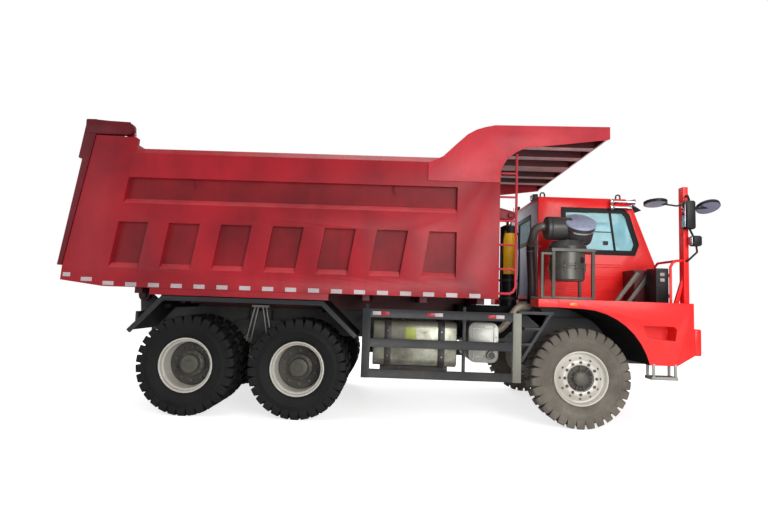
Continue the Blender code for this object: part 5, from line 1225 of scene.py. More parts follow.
# %% [markdown]
# ### Pane divider, creases and door lines
# A slanted bar divides the side window. The crease lines are shallow raised ribs, made
# as thin bars with soft edges: real relief catches the light better than a painted line.

# %% Divider and creases
bm = bmesh.new()
bar = [(3.50, 2.49), (3.53, 2.49), (3.445, 3.13), (3.415, 3.13)]
add_plate(bm, bar, cab_right_y - 0.006, cab_right_y + 0.022)
add_box(bm, (2.74, 3.46), (cab_right_y, cab_right_y + 0.020), (2.80, 2.812))
finished("window_divider", bm, rubber, "chassis", bevel=0.003)
cab_lines = [((2.36, 3.60), (cab_right_y - 0.007, cab_right_y + 0.01), (z - step - 0.007, z - step + 0.007))
             for z in (2.29, 2.10, 1.90) for step in (0.0, 0.036)]
blocks("cab_creases", cab_lines, cab_red_sunlit, bevel=0.0045)
door_lines = [((2.84, 3.82), (cab_left_y - 0.01, cab_left_y + 0.006), (z - 0.008, z + 0.008))
              for z in (2.29, 2.10, 1.92)]
blocks("door_creases", door_lines, cab_red_sunlit, "cab_door", bevel=0.0045)
print("crease lines:", len(cab_lines) + len(door_lines))

# %% [markdown]
# ### Handles, latches and wipers
# Small black fittings give the cab its scale: a pull handle with its lock on the door, a
# grab bar behind it, a window latch, two wipers and a sun shade over the screen.

# %% Handle, bar and latch
HANDLE_X, HANDLE_Z = 2.90, 2.36
HANDLE = ((0, 0), (0, 0.012), (0.02, 0.028), (0.12, 0.028), (0.14, 0.012), (0.14, 0))
GRAB_BAR = ((0, 2.20), (0.03, 2.22), (0.04, 2.5), (0.04, 2.85), (0.03, 2.98), (0, 3.0))
bm = bmesh.new()
add_tube(bm, smooth_path([(HANDLE_X + x, cab_left_y + out, HANDLE_Z) for x, out in HANDLE], 4), 0.009)
add_turned(bm, [(0, -0.006), (0.016, -0.006), (0.016, 0.012), (0.010, 0.014), (0, 0.014)],
           (HANDLE_X + 0.19, cab_left_y, HANDLE_Z), "y", 16)
finished("door_handle", bm, soft_black, "cab_door")
piped("grab_bar", smooth_path([(2.62, cab_left_y + out, z) for out, z in GRAB_BAR], 4), 0.012, soft_black)
latch = [((3.33, 3.40), (cab_right_y - 0.016, cab_right_y + 0.008), (2.60, 2.66)),
         ((2.725, 2.765), (cab_right_y - 0.014, cab_right_y + 0.008), (2.78, 2.90))]
blocks("window_latch", latch, soft_black, bevel=0.005)
print("handle, bar and latch fitted")

# %% Wipers and sun shade
SCREEN_FOOT, SCREEN_RISE, SCREEN_LEAN = 0.58, 0.91, 0.35
roof = cab_high.z


def screen_x_at(z):
    return cab_high.x - max(0, z - (cab_low.z + SCREEN_FOOT)) / SCREEN_RISE * SCREEN_LEAN


up_screen = Vector((-SCREEN_LEAN / SCREEN_RISE, 0, 1)).normalized()
for index, y in enumerate((0.10, 0.95)):
    foot = Vector((screen_x_at(2.36) + 0.012, y, 2.37))
    tip = Vector((screen_x_at(2.80) + 0.022, y + 0.34, 2.80))
    bm = bmesh.new()
    add_tube(bm, [foot, foot.lerp(tip, 0.5) + Vector((0.012, 0, 0)), tip], [0.011, 0.008, 0.006], 8)
    add_tube(bm, [tip - up_screen * 0.26, tip, tip + up_screen * 0.26], 0.008, 6)
    finished(f"wiper_{index + 1}", bm, soft_black, "chassis")
SHADE = ((3.66, -0.004), (3.70, 0.004), (3.86, -0.055), (3.99, -0.14), (3.985, -0.152), (3.85, -0.072),
         (3.70, -0.016))
bm = bmesh.new()
add_plate(bm, [(x, roof + above) for x, above in SHADE], -0.42, 1.50)
finished("sun_shade", bm, soft_black, "chassis", bevel=0.003)
print("cab fittings done")

# %% [markdown]
# ### Roof: lamps, eyes and horns
# Work lamps stand on the roof's edges, lifting eyes at the corners, and two chrome
# trumpet horns, one above the other, hang outside the right wall. Horns are turned
# forms; the eyes are plates with a real hole.

# %% Lifting eyes
def eye_outline(x, z, size, foot, top):
    return [(x - size, foot)] + arc((x, z + top), size, 180, 0, 9) + [(x + size, foot)]


def add_eye(bm, x, y, z, size=0.045):
    outer = eye_outline(x, z, size, z, size * 1.2)
    inner = eye_outline(x, z, size * 0.5, z + size * 0.5, size * 1.2)
    add_frame(bm, outer, inner, y - 0.008, y + 0.008)


bm = bmesh.new()
for x, y in ((3.60, -0.46), (3.60, 1.52), (2.40, -0.46), (2.40, 1.52)):
    add_eye(bm, x, y, roof - 0.004)
finished("lifting_eyes", bm, soft_black, "chassis", bevel=0.002)
print("four lifting eyes")

# %% Work lamps
def work_lamp(name, x, y, facing):
    """A square lamp in a shell on the roof; facing is +1 to the front or -1 to the rear."""
    z = roof + 0.075
    shell = [(x - 0.045, z - 0.05), (x + 0.045, z - 0.055), (x + 0.045, z + 0.055), (x - 0.045, z + 0.05)]
    bm = bmesh.new()
    add_plate(bm, shell, y - 0.075, y + 0.075)
    add_box(bm, (x - 0.012, x + 0.012), (y - 0.012, y + 0.012), (z - 0.085, z - 0.04))
    finished(name, bm, soft_black, "chassis", bevel=0.012)
    front = x + facing * 0.043
    lens = (sorted((front, front + facing * 0.010)), (y - 0.060, y + 0.060), (z - 0.040, z + 0.040))
    blocks(name + "_lens", [lens], lamp_clear, bevel=0.003)


work_lamp("rear_work_lamp_right", 2.375, -0.09, -1)
work_lamp("rear_work_lamp_left", 2.375, 1.05, -1)
work_lamp("front_work_lamp_left", 3.63, 1.30, 1)
print("lamps on the roof at z", round(roof + 0.075, 3))

# %% Horns
HORN_X = 3.46
HORN_BACK = [(0, -0.05), (0.036, -0.05), (0.040, -0.042), (0.040, -0.008), (0.034, 0.004), (0, 0.004)]
for index, (z, length) in enumerate(((roof - 0.055, 0.33), (roof - 0.145, 0.27))):
    bell = [(0, 0), (0.014, 0), (0.016, 0.05), (0.020, length * 0.62), (0.030, length * 0.85), (0.046, length),
            (0.043, length + 0.003), (0.012, length * 0.6), (0, length * 0.6)]
    bm = bmesh.new()
    for section in (bell, HORN_BACK):
        add_turned(bm, section, (HORN_X, cab_right_y - 0.062, z), "x", 20)
    finished(f"horn_{index + 1}", bm, chrome, "chassis", angle=50)
    bracket = ((HORN_X + 0.03, HORN_X + 0.06), (cab_right_y - 0.066, cab_right_y + 0.004),
               (z - 0.020, z - 0.010))
    blocks(f"horn_{index + 1}_bracket", [bracket], soft_black, bevel=0.002)
print("two horns")

# %% [markdown]
# ### The cab's rear wall
# It is a thin plate laid on the shell with the window's opening left free, so it is built as a frame.
# Its pale grey is a painted reflection of the bright sky, as glossy paint shows it when seen almost edge-on.

# %% Rear wall sheet
rear_low, rear_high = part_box("rear_window")
sheet = rectangle((cab_low.y + 0.05, cab_left_y - 0.04), (cab_low.z + 0.06, cab_high.z - 0.06))
opening = rectangle((rear_low.y, rear_high.y), (rear_low.z, rear_high.z))
bm = bmesh.new()
add_frame(bm, sheet, offset(opening, 0.012), cab_low.x - 0.004, cab_low.x + 0.004, "yz")
finished("cab_rear_sheet", bm, cab_rear_painted_reflection, "chassis", bevel=0.0015)
ribs = [((cab_low.x - 0.016, cab_low.x), (y - 0.018, y + 0.018), (cab_low.z + 0.08, rear_low.z - 0.08))
        for y in (0.0, 0.55, 1.10)]
blocks("cab_rear_ribs", ribs, cab_rear_painted_reflection, bevel=0.004)
print("rear wall ribs:", len(ribs))

# %% [markdown]
# ## Driver's place
# The seat is a soft piece: a crowned cushion and a back with a headrest, modelled as
# boxes that a Subdivision Surface rounds, with their sides pulled in, over a base.

# %% A cushion
SEAM_AT, SEAM_WIDTH, SEAM_DEPTH = 0.333, 0.05, 0.010


def cushion(name, x, y, z, lean=0.0, pivot_z=0.0, crown=0.02):
    """A crowned closed pad: a gridded block, swollen in the middle of each face, then subdivided."""
    middle = Vector(((x[0] + x[1]) / 2, (y[0] + y[1]) / 2, (z[0] + z[1]) / 2))
    size = Vector((x[1] - x[0], y[1] - y[0], z[1] - z[0]))
    bm = bmesh.new()
    bmesh.ops.create_cube(bm, size=1.0)
    bmesh.ops.subdivide_edges(bm, edges=bm.edges, cuts=5, use_grid_fill=True)
    for corner in bm.verts:
        a, b, c = (value * 2 for value in corner.co)
        swell = (1 - a * a) * (1 - b * b)
        pinch = 1 - 0.07 * (a * a * b * b) - 0.05 * abs(a * b * c)
        on_seam = abs(abs(a) - SEAM_AT) < SEAM_WIDTH and abs(c) > 0.9
        rise = size.z / 2 - crown + crown * swell - (SEAM_DEPTH if on_seam else 0.0)
        corner.co = Vector((a * size.x / 2 * pinch, b * size.y / 2 * pinch, c * rise)) + middle
        corner.co.x += (corner.co.z - pivot_z) * lean
    source = placed(name + "_cage", mesh_of(bm, name))
    rounding = source.modifiers.new("rounding", "SUBSURF")
    rounding.levels = rounding.render_levels = 2
    piece = plain(source, name)
    piece.data.materials.append(seat_cloth)
    settled(piece, 60)
    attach(piece, "chassis")
    return piece


# %% Seat
SEAT_LEAN = -0.20
seat_low, seat_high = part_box("seat")
seat_x, seat_y, seat_z = seat_low.x + 0.40, (seat_low.y + seat_high.y) / 2, seat_low.z
half = (seat_high.y - seat_low.y) / 2


def about_seat(reach):
    return seat_y - reach, seat_y + reach


pads = [cushion("seat_cushion", (seat_x - 0.22, seat_x + 0.26), about_seat(half - 0.01),
                (seat_z + 0.29, seat_z + 0.43)),
        cushion("seat_back", (seat_x - 0.25, seat_x - 0.13), about_seat(half - 0.02),
                (seat_z + 0.42, seat_z + 0.90), SEAT_LEAN, seat_z + 0.42),
        cushion("seat_headrest", (seat_x - 0.245, seat_x - 0.15), about_seat(0.14),
                (seat_z + 0.92, seat_z + 1.09), SEAT_LEAN, seat_z + 0.42)]
bm = bmesh.new()
add_plate(bm, [(seat_x - 0.17, seat_z), (seat_x + 0.17, seat_z), (seat_x + 0.15, seat_z + 0.27),
               (seat_x - 0.15, seat_z + 0.27)], *about_seat(0.16))
for step in range(5):
    z = seat_z + 0.05 + step * 0.045
    add_box(bm, (seat_x - 0.178, seat_x + 0.178), about_seat(0.172), (z, z + 0.018))
pads.append(finished("seat_bellows", bm, rubber, "chassis", bevel=0.006))
for piece in pads:
    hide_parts("seat")
softened("dashboard", 0.008, soft_black)
print("seat at x", round(seat_x, 3))

# %% [markdown]
# ## Deck gear
# On the right fender stand the square-tube stand with the air filter in it, the intake
# drum above with its hose, a black control cabinet and the hood panel with two stays.
# The filter's can and drums are turned forms; their clamps and latches are separate, as
# on the real one.

# %% Stand and filter can
filter_low, filter_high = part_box("air_filter")
filter_x, filter_y = (filter_low.x + filter_high.x) / 2, (filter_low.y + filter_high.y) / 2
can_radius = (filter_high.x - filter_low.x) / 2 - 0.012
can_top = deck_z + 0.66 - 0.001
CAN = ((0, 0), (0, -0.165), (0.010, -0.172), (0.010, -0.190), (0.003, -0.196), (0.010, -0.202), (0.010, -0.222),
       (0, -0.228), (-0.004, -0.375), (-0.03, -0.398))
for node in ("filter_stand", "hood_stays"):
    softened(node, 0.004, stand_grey)
section = [(can_radius + out, can_top + z) for out, z in CAN]
floor_of_can = [(radius, can_top + z) for radius, z in ((0.06, -0.398), (0.05, -0.392), (0, -0.392))]
can = turned("filter_can", [(0, can_top)] + section + floor_of_can, (filter_x, filter_y, 0), filter_grey,
             axis="z", steps=48, angle=25)
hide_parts("air_filter")
print("filter can radius", round(can_radius, 3))

# %% Latches and blank plate
bm = bmesh.new()
for angle in (-150, -115, -80, -45, -10, 40, 90, 150):
    a = math.radians(angle)
    out = Vector((math.cos(a), math.sin(a), 0))
    along = Vector((-math.sin(a), math.cos(a), 0))
    rise = Vector((0, 0, 1))
    place = Vector((filter_x, filter_y, can_top - 0.196)) + out * (can_radius + 0.012)
    add_tube(bm, [place - along * 0.022, place, place + along * 0.022], 0.012, 8)
    add_tube(bm, [place - rise * 0.055, place + rise * 0.055], 0.009, 8)
finished("filter_latches", bm, bare_steel, "chassis")
bm = bmesh.new()
add_curved_plate(bm, (filter_x, filter_y), can_radius + 0.0015, 0.004, (-62, -33.2),
                 (can_top - 0.15, can_top - 0.07), 9)
finished("filter_blank_plate", bm, soft_black, "chassis", angle=80)
print("latches and plate on the can")

# %% [markdown]
# ### Intake drums
# The upper drum's axis leans sideways. Its parts are turned upright, then moved together.

# %% Intake drums
DRUM_TILT = math.radians(38)
base = low("precleaner").z
drum_place = (filter_x + 0.14, filter_y - 0.04, base + 0.29)


def add_moved(bm, part, matrix):
    """Adds a part to bm, moved by a matrix."""
    part.transform(matrix)
    mesh = mesh_of(part, "part")
    bm.from_mesh(mesh)
    bpy.data.meshes.remove(mesh)


def tilted(centre, tilt):
    return Matrix.Translation(centre) @ Matrix.Rotation(tilt, 4, "X")


def add_tilted(bm, section, centre, tilt, steps=48, closed=False):
    """A turned form whose axis leans sideways."""
    part = bmesh.new()
    add_turned(part, section, (0, 0, 0), "z", steps, closed)
    add_moved(bm, part, tilted(centre, tilt))


COLLAR = ((0, 0.13), (0.185, 0.13), (0.20, 0.125), (0.255, 0.055), (0.262, 0.045), (0.262, 0.001), (0, 0.001))
LYING_DRUM = [(0, -0.17), (0.150, -0.17), (0.163, -0.160), (0.165, -0.12), (0.158, -0.112), (0.165, -0.104),
              (0.165, 0.17), (0, 0.17)]
UPPER_DRUM = [(0, 0.120), (0.205, 0.120), (0.205, 0.09), (0.212, 0.084), (0.212, -0.06), (0.200, -0.074),
              (0.212, -0.088), (0.210, -0.13), (0.195, -0.15), (0, -0.15)]
LID = [(0, 0.150), (0.05, 0.150), (0.06, 0.146), (0.196, 0.146), (0.210, 0.142), (0.215, 0.132), (0.215, 0.112),
       (0.209, 0.106), (0, 0.106)]
BAND = [(0.209, 0.064), (0.2165, 0.062), (0.2165, 0.044), (0.209, 0.042)]
RAY = [(0.065, -0.006), (0.190, -0.012), (0.190, 0.012), (0.065, 0.006)]
RAYS = 12
bm = bmesh.new()
add_turned(bm, [(radius, base + z) for radius, z in COLLAR], (filter_x, filter_y, 0), "z", 40)
add_turned(bm, LYING_DRUM, (filter_x - 0.14, filter_y, base + 0.31), "x", 40)
drums = [finished("intake_collar_and_drum", bm, drum_grey, "chassis", angle=28)]
bm = bmesh.new()
add_tilted(bm, UPPER_DRUM, drum_place, DRUM_TILT)
drums.append(finished("intake_drum", bm, drum_grey, "chassis", angle=28))
bm = bmesh.new()
add_tilted(bm, LID, drum_place, DRUM_TILT)
for step in range(RAYS):
    ray = bmesh.new()
    add_plate(ray, RAY, 0.143, 0.1505, "xy")
    add_moved(bm, ray, tilted(drum_place, DRUM_TILT) @ Matrix.Rotation(2 * math.pi * step / RAYS, 4, "Z"))
drums.append(finished("intake_lid", bm, lid_grey, "chassis", angle=28))
bm = bmesh.new()
add_tilted(bm, BAND, drum_place, DRUM_TILT, closed=True)
drums.append(finished("intake_band", bm, chrome, "chassis"))
for piece in drums:
    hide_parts("precleaner")
print("intake drums:", len(drums), "pieces")

# %% [markdown]
# ### The intake hose
# A rubber elbow leaves the lying drum, bends down beside the deck and turns in to the
# engine. A hose is one smooth curve, so a path is smoothed through a few points and a
# round section swept along it. Screw clamps sit on its ends and joints.

# %% Hose and clamps
ELBOW_END = 24
hose_x, hose_top = front_axle_x - 0.51, deck_z + 1.03
drum_end = filter_x - 0.14 - 0.1703
route = [(drum_end, filter_y, hose_top), (drum_end - 0.06, filter_y, hose_top),
         (hose_x - 0.02, filter_y + 0.05, hose_top - 0.04), (hose_x - 0.03, filter_y + 0.13, hose_top - 0.13),
         (hose_x - 0.02, filter_y + 0.27, hose_top - 0.24), (hose_x, -0.94, hose_top - 0.41),
         (hose_x + 0.02, -0.94, deck_z + 0.20), (hose_x + 0.03, -0.88, deck_z - 0.08),
         (hose_x + 0.05, -0.79, deck_z - 0.17), (hose_x + 0.12, -0.64, deck_z - 0.20),
         (hose_x + 0.24, -0.50, deck_z - 0.20), (hose_x + 0.24, -0.3803, deck_z - 0.20)]
path = smooth_path(route)
elbow = piped("intake_elbow", path[:ELBOW_END + 1], 0.058, filter_grey, sides=20, angle=50)
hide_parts("intake_hose")
radii = [0.060 + (0.0025 if 3 < index < len(path) - ELBOW_END - 2 and index % 2 else 0)
         for index in range(len(path) - ELBOW_END)]
hose = piped("intake_rubber", path[ELBOW_END:], radii, hose_black, sides=20, angle=50)
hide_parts("intake_hose")
bm = bmesh.new()
for index in (2, 23, 27, len(path) - 4):
    ahead = (path[index + 1] - path[index - 1]).normalized()
    out = ahead.orthogonal().normalized()
    screw, along = path[index] + out * 0.070, ahead.cross(out) * 0.02
    add_tube(bm, [path[index] - ahead * 0.008, path[index] + ahead * 0.008], 0.0655, 20)
    add_tube(bm, [screw - along, screw + along], 0.008, 8)
finished("hose_clamps", bm, bare_steel, "chassis")
print("hose points", len(path))

# %% [markdown]
# ### Cabinet and hood
# The cabinet is a closed sheet box: a door seam, two hinges, a lock and two blank labels.

# %% Control cabinet and hood panel
softened("control_cabinet", 0.008, soft_black)
# The hood panel gets the maroon red-in-shade: painted shade.
softened("hood_panel", 0.010, maroon_painted_shade)
box_low, box_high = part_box("control_cabinet")
face = box_low.y
door_x, door_z = (box_low.x + 0.012, box_high.x - 0.012), (box_low.z + 0.02, box_high.z - 0.02)
bm = bmesh.new()
add_frame(bm, rectangle(door_x, door_z), rectangle(door_x, door_z, 0.005), face - 0.003, face + 0.004)
for z in (box_low.z + 0.10, box_high.z - 0.10):
    hinge = [(box_high.x - 0.006, face - 0.005, z + end) for end in (-0.025, 0.025)]
    add_tube(bm, hinge, 0.007, 8)
add_turned(bm, [(0, -0.010), (0.012, -0.010), (0.014, 0.002), (0, 0.002)],
           (box_low.x + 0.035, face, (box_low.z + box_high.z) / 2), "y", 14)
finished("cabinet_trim", bm, frame_grey, "chassis")
labels = [((box_low.x + 0.06, box_low.x + 0.12), (face - 0.002, face + 0.003), (z, z + 0.045))
          for z in (box_low.z + 0.30, box_low.z + 0.38)]
blocks("cabinet_labels", labels, marker_white, bevel=0.001)
print("cabinet face at", round(face, 3))

# %% [markdown]
# ### Mirrors
# Black shells on a bent arm, each with a silvered face that looks back, and a round
# convex mirror that looks down at the fender. The faces are separate thin glass.

# %% Mirrors
MIRROR_X = {"right": 1.455, "left": 1.52}
ROUND_FACE = [(0, -0.0205), (0.141, -0.0205), (0.143, -0.0225), (0.10, -0.0235), (0, -0.024)]
ROUND_MIRRORS = {"right": [(1.78, 1.35, 25), (1.055, 1.38, 8)], "left": [(1.78, 1.35, 25)]}
for side_title, side in SIDES.items():
    softened(f"mirrors_{side_title}", 0.004, soft_black)
    x, y = front_axle_x + MIRROR_X[side_title], across(side, 1.59 - 0.045, 1.59 + 0.045)
    faces = [((x - 0.076, x - 0.069), y, (deck_z + 1.035, deck_z + 1.375)),
             ((x + 0.013, x + 0.021), y, (deck_z + 0.795, deck_z + 0.905))]
    blocks(f"mirror_faces_{side_title}", faces, mirror_silver, bevel=0.002)
for side_title, side in SIDES.items():
    bm = bmesh.new()
    for x, z, tilt in ROUND_MIRRORS[side_title]:
        centre = (front_axle_x + x, side * 1.49, deck_z + z)
        add_tilted(bm, ROUND_FACE, centre, math.radians(side * tilt), 32)
    finished(f"round_mirror_faces_{side_title}", bm, mirror_violet, "chassis", angle=60)
print("mirrors dressed")

# %% [markdown]
# ## Side gear
# Between the wheels a square-tube guard protects the silver fuel tank and the silver
# exhaust box. The guard's top rail carries white and red reflecting strips, and the tank
# has two black straps, a filler cap and a blank sign.

# %% Guards, tank and exhaust box
def on_front_post(place, way):
    return 1.665 < place.x < 1.785 and abs(place.y) > 1.585 and place.z < 1.44


def on_flange(place, way):
    return abs(place.y) > 1.60


SIDE_PARTS = (
    ("side_guard_right", guard_grey, 0.006, [(khaki, on_front_post)]),
    ("side_guard_left", guard_grey, 0.006, [(khaki, on_front_post)]),
    ("fuel_tank", tank_silver, 0.012, ()),
    ("tank_cradle", soft_black, 0.003, ()),
    ("exhaust_box", silver, 0.008, ()),
    # The mudguards are chassis grey: the deep black on them is painted shade, and only the flange keeps its
    # grey.
    ("rear_mudguard_right", deep_black_and_shade, 0.002, [(guard_grey, on_flange)]),
    ("rear_mudguard_left", deep_black_and_shade, 0.002, [(guard_grey, on_flange)]),
)
for node, material, width, zones in SIDE_PARTS:
    softened(node, width, material, zones=zones)
guard_face = abs(low("side_guard_right").y)
print("guard face at", round(guard_face, 3))

# %% Strips on the guards
RAIL_Z = 1.507 - 0.0575
HALF_STRIP = 0.055
for side_title, side in SIDES.items():
    strips = {"white": bmesh.new(), "red": bmesh.new()}
    for x, order in ((-0.10, ("white", "red")), (0.62, ("red", "white")), (1.44, ("red", "white"))):
        for colour, middle in zip(order, (x - HALF_STRIP, x + HALF_STRIP)):
            add_box(strips[colour], (middle - HALF_STRIP, middle + HALF_STRIP),
                    across(side, guard_face - 0.006, guard_face + 0.002), (RAIL_Z - 0.024, RAIL_Z + 0.024))
    for colour, material in (("white", marker_white), ("red", marker_red)):
        finished(f"guard_strips_{colour}_{side_title}", strips[colour], material, "chassis", bevel=0.001)
print("three pairs of strips on each rail")

# %% Tank fittings
CAP = ((0, 0.03), (0.045, 0.03), (0.050, 0.024), (0.050, 0.004), (0.060, 0.002), (0.060, -0.01), (0, -0.01))
tank_low, tank_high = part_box("fuel_tank")
turned("tank_cap", [(radius, tank_high.z + z) for radius, z in CAP], (tank_low.x + 0.40, tank_low.y + 0.16, 0),
       soft_black, axis="z", steps=28)
sign = ((tank_low.x + 0.44, tank_low.x + 0.58), (tank_low.y - 0.003, tank_low.y + 0.004),
        (tank_high.z - 0.24, tank_high.z - 0.09))
blocks("tank_sign", [sign], sign_lime, bevel=0.001)
bm = bmesh.new()
for x in (0.0, 0.73):
    for z in (tank_low.z + 0.14, tank_high.z - 0.14):
        add_turned(bm, [(0, -0.022), (0.010, -0.022), (0.010, 0.004), (0, 0.004)],
                   (x, tank_low.y - 0.012, z), "y", 8)
finished("strap_bolts", bm, bare_steel, "chassis")
print("tank top at z", round(tank_high.z, 3))

# %% [markdown]
# ### Exhaust box
# The box has a bolted cover, an outlet low down, and a wrapped pipe that climbs from its
# front end to the engine.

# %% Exhaust box fittings
SHELL_START, SHELL_END = 1.11, 1.52
BOLT = [(0, -0.012), (0.012, -0.012), (0.014, 0.003), (0, 0.003)]
bolt_rows = [(axle_z + z, x) for z in (0.20, 0.64)
             for x in (SHELL_START + 0.06, (SHELL_START + SHELL_END) / 2, SHELL_END - 0.06)]
bolt_rows += [(axle_z + z, x) for z in (0.33, 0.50) for x in (SHELL_START + 0.035, SHELL_END - 0.035)]
bm = bmesh.new()
for z, x in bolt_rows:
    add_turned(bm, BOLT, (x, -1.45, z), "y", 8)
finished("exhaust_box_bolts", bm, bare_steel, "chassis")
cover = rectangle((SHELL_START + 0.07, SHELL_END - 0.07), (axle_z + 0.235, axle_z + 0.61))
bm = bmesh.new()
add_frame(bm, offset(cover, 0.012), cover, -1.458, -1.44)
finished("exhaust_box_cover", bm, silver, "chassis", bevel=0.003)
turned("exhaust_outlet_mouth", [(0, -0.003), (0.048, -0.003), (0.048, 0.003), (0, 0.003)],
       (SHELL_END - 0.11, -1.542, axle_z + 0.26), soft_black)
PIPE = ((-0.11, -1.15, 0.57), (0, -1.15, 0.60), (0.10, -1.15, 0.70), (0.20, -1.15, 0.85), (0.27, -1.15, 0.92),
        (0.38, -1.10, 0.93), (0.455, -0.96, 0.93))
pipe = smooth_path([(SHELL_END + 0.08 + x, y, axle_z + z) for x, y, z in PIPE], 5)
piped("exhaust_pipe_wrap", pipe, 0.050, beige_pipe, sides=18, angle=50)
print("exhaust bolts:", len(bolt_rows))

# %% Fender markers and the steps' grip
STEP_START, GRIP_STEP, GRIPS = 3.56, 0.048, 7
for side_title, side in SIDES.items():
    marker = ((2.44, 2.54), across(side, 1.596, 1.606), (1.632, 1.672))
    blocks(f"fender_marker_{side_title}", [marker], lamp_orange, bevel=0.003)
    starts = [STEP_START + index * GRIP_STEP for index in range(GRIPS)]
    grip = [((x, x + 0.018), across(side, 1.455, 1.592), (axle_z + 0.058, axle_z + 0.066)) for x in starts]
    blocks(f"hanging_step_grip_{side_title}", grip, step_grey, bevel=0.003)
print("side gear done")

# %% [markdown]
# ## Hoist
# The telescopic hoist is a black tube with three bright stages inside. A blank yellow
# label wraps its side, and two hoses feed it at the top. The stages slide, so they only
# get softened edges and a finish.

# %% Hoist finishes and fittings
HOIST_HOSE = ((0, -0.02, 0), (0.03, -0.05, -0.06), (0.05, -0.03, -0.30), (0.052, 0.0, -0.75),
              (0.04, 0.01, -1.12))
softened("hoist_tube", 0.003, soft_black)
for node in ("hoist_stage_1", "hoist_stage_2", "hoist_rod"):
    softened(node, 0.0015, bright_rod)
tube_low, tube_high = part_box("hoist_tube")
hoist_x = (tube_low.x + tube_high.x) / 2
bm = bmesh.new()
add_curved_plate(bm, (hoist_x, 0), 0.1405, 0.003, (-138, -42), (2.12, 2.80), 12)
finished("hoist_label", bm, sign_yellow, "hoist_tube", angle=40)
bm = bmesh.new()
for sign in (-1, 1):
    start = Vector((hoist_x + sign * 0.09, -0.118, tube_high.z - 0.10))
    add_tube(bm, [start + Vector((0, 0.02, 0)), start + Vector((0, -0.03, 0))], 0.018, 12)
    hose = [start + Vector((sign * x, y, z)) for x, y, z in HOIST_HOSE]
    add_tube(bm, smooth_path(hose, 5), 0.013, 10)
finished("hoist_hoses", bm, hose_black, "hoist_tube")
bm = bmesh.new()
for z in (2.02, 1.72):
    band = [(0.139, z - 0.02), (0.150, z - 0.018), (0.150, z + 0.018), (0.139, z + 0.02)]
    add_turned(bm, band, (hoist_x, 0, 0), "z", 32, closed=True)
finished("hoist_bands", bm, frame_grey, "hoist_tube")
print("hoist at x", round(hoist_x, 3))

# %% [markdown]
# ## Front end
# The grille is a row of dark bars in a frame, with the radiator behind. Round headlamps
# sit in the bumper with orange turn lamps beside them, and two tow hooks stand below.

# %% Grille
BARS = 11
dressed("radiator_grille", soft_black)
grille_low, grille_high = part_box("radiator_grille")
grille_y, grille_z = (grille_low.y, grille_high.y), (grille_low.z, grille_high.z)
bm = bmesh.new()
add_box(bm, (grille_high.x - 0.004, grille_high.x + 0.022), (grille_low.y + 0.03, grille_high.y - 0.03),
        (-0.011, 0.011))
repeated("grille_bars", ROW, bm, "chassis", frame_grey, Count=BARS, Start=(0, 0, grille_low.z + 0.06),
         Step=(0, 0, (grille_high.z - grille_low.z - 0.12) / (BARS - 1)))
bm = bmesh.new()
add_frame(bm, offset(rectangle(grille_y, grille_z, 0.02), 0.02), rectangle(grille_y, grille_z, 0.03),
          grille_high.x - 0.002, grille_high.x + 0.028, "yz")
finished("grille_frame", bm, cab_red_sunlit, "chassis", bevel=0.006)
print("grille bars:", BARS)

# %% Headlamps and hooks
LAMP_RING = [(0.066, -0.004), (0.090, -0.004), (0.092, 0.014), (0.080, 0.022), (0.070, 0.018), (0.066, 0.006)]
LAMP_LENS = [(0, 0.017), (0.035, 0.015), (0.060, 0.009), (0.069, 0.002), (0.069, -0.004), (0, -0.004)]
HOOK = ((-0.30, -0.03), (-0.02, -0.03), (0.02, -0.07), (-0.01, -0.115), (-0.07, -0.115))
bumper_low, bumper_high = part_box("front_bumper")
nose_x, lamp_z = bumper_high.x, (bumper_low.z + bumper_high.z) / 2
for side_title, side in SIDES.items():
    rings, lenses = bmesh.new(), bmesh.new()
    for y in (0.98, 1.20):
        add_turned(rings, LAMP_RING, (nose_x, side * y, lamp_z), "x", 32, closed=True)
        add_turned(lenses, LAMP_LENS, (nose_x, side * y, lamp_z), "x", 32)
    finished(f"headlamp_rings_{side_title}", rings, soft_black, "chassis")
    finished(f"headlamp_lenses_{side_title}", lenses, lamp_clear, "chassis", angle=50)
    turn_lamp = ((nose_x - 0.004, nose_x + 0.012), across(side, 1.32, 1.42), (lamp_z - 0.055, lamp_z + 0.055))
    blocks(f"turn_lamp_{side_title}", [turn_lamp], lamp_orange, bevel=0.006)
    hook = smooth_path([(nose_x + x, side * 0.48, bumper_low.z + z) for x, z in HOOK], 5)
    piped(f"tow_hook_{side_title}", hook, 0.022, bare_steel, sides=12, angle=50)
print("front end done")

# %% [markdown]
# ## Rear lamps and gate ribs
# The gate's back is stiffened with welded ribs, and two round lamps hang from the rear
# of the frame on each side.

# %% Gate ribs
RIB_OUTLINE = [(-4.523 + 0.008, 1.99), (-4.523 - 0.022, 2.03), (-4.228 - 0.030, 3.40), (-4.228 + 0.008, 3.43)]
bm = bmesh.new()
for y in (-1.25, -0.62, 0.0, 0.62, 1.25):
    add_plate(bm, RIB_OUTLINE, y - 0.05, y + 0.05)
finished("gate_ribs", bm, bed_red_shaded, "tailgate", bevel=0.006)
print("five ribs on the gate")

# %% Rear lamps
REAR_X = -3.72
REAR_LAMP = [(0, -0.050), (0.035, -0.048), (0.052, -0.040), (0.055, -0.018), (0, -0.018)]
for side_title, side in SIDES.items():
    bracket = [((REAR_X - 0.02, REAR_X + 0.02), across(side, 0.50, 0.98), (1.20, 1.34)),
               ((REAR_X - 0.02, REAR_X + 0.05), across(side, 0.44, 0.56), (1.22, 1.32))]
    blocks(f"rear_lamp_bracket_{side_title}", bracket, frame_grey, bevel=0.005)
    for colour, y, material in (("red", 0.72, lamp_red), ("amber", 0.87, lamp_orange)):
        turned(f"rear_lamp_{colour}_{side_title}", REAR_LAMP, (REAR_X, side * y, 1.27), material,
               axis="x", angle=40)
print("rear lamps hung")

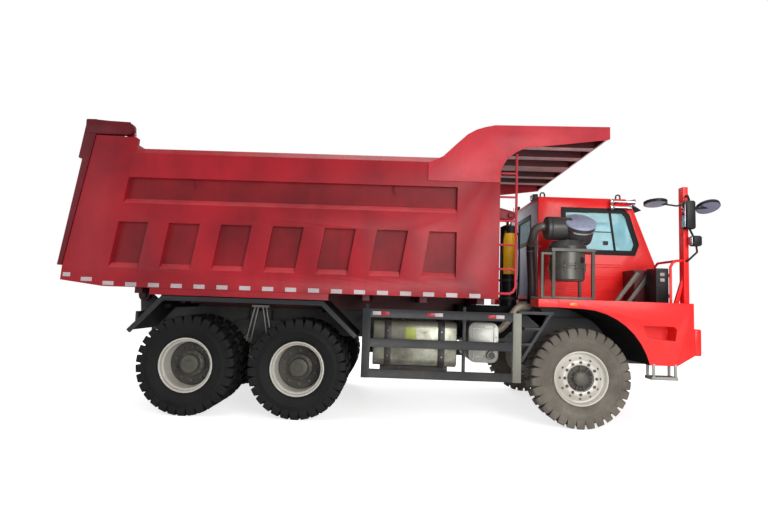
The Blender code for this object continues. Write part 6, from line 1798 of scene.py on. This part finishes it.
# %% [markdown]
# ## Running gear
# Axles, springs, knuckles and the frame are welded and forged steel under road dust.
# Their shapes stay, softened, and the spring packs get their clamp bolts.

# %% Running gear finishes
for node in ("chassis_frame", "front_axle", "middle_axle", "rear_axle", "rear_suspension", "knuckle_right",
             "knuckle_left"):
    softened(node, 0.006, frame_grey)
softened("engine_block", 0.006, soft_black)
suspension_low, suspension_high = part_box("rear_suspension")
bogie_x, spring_top = (suspension_low.x + suspension_high.x) / 2, suspension_high.z
bm = bmesh.new()
for side in (RIGHT, LEFT):
    for x in (bogie_x - 0.10, bogie_x + 0.10):
        for y in (side * 0.545, side * 0.705):
            add_tube(bm, [(x, y, 0.90), (x, y, spring_top + 0.035)], 0.014, 10)
            add_turned(bm, [(0, 0.0), (0.024, 0.0), (0.024, 0.022), (0, 0.022)], (x, y, spring_top), "z", 6)
finished("spring_bolts", bm, bare_steel, "chassis")
print("bogie at x", round(bogie_x, 3))

# %% Spring rods and oil tank
RODS = ((-0.20, -0.085), (-0.13, -0.035), (0.13, 0.035), (0.20, 0.085))
bm = bmesh.new()
for side in (RIGHT, LEFT):
    for foot_x, top_x in RODS:
        rod = [(bogie_x + foot_x, side * 0.735, 0.93), (bogie_x + top_x, side * 0.735, 1.46)]
        add_tube(bm, rod, 0.011, 8)
    add_box(bm, (bogie_x - 0.13, bogie_x + 0.13), across(side, 0.722, 0.760), (1.45, 1.485))
finished("spring_u_rods", bm, step_grey, "chassis")
bm = bmesh.new()
add_plate(bm, [(1.02, 1.12), (1.70, 1.12), (1.84, 1.26), (1.84, 1.60), (1.02, 1.60)], -0.93, -0.56)
for z in (1.22, 1.50):
    add_box(bm, (1.01, 1.85), (-0.938, -0.55), (z, z + 0.02))
finished("oil_tank", bm, deep_black_and_shade, "chassis", bevel=0.015)


def has_finish(node):
    materials = frame["nodes"][node].data.materials
    return bool(materials) and materials[0] is not None and "slot" in materials[0]


print("parts replaced or finished; still on the frame's own material:",
      sorted(node for node in frame["nodes"] if not has_finish(node)))
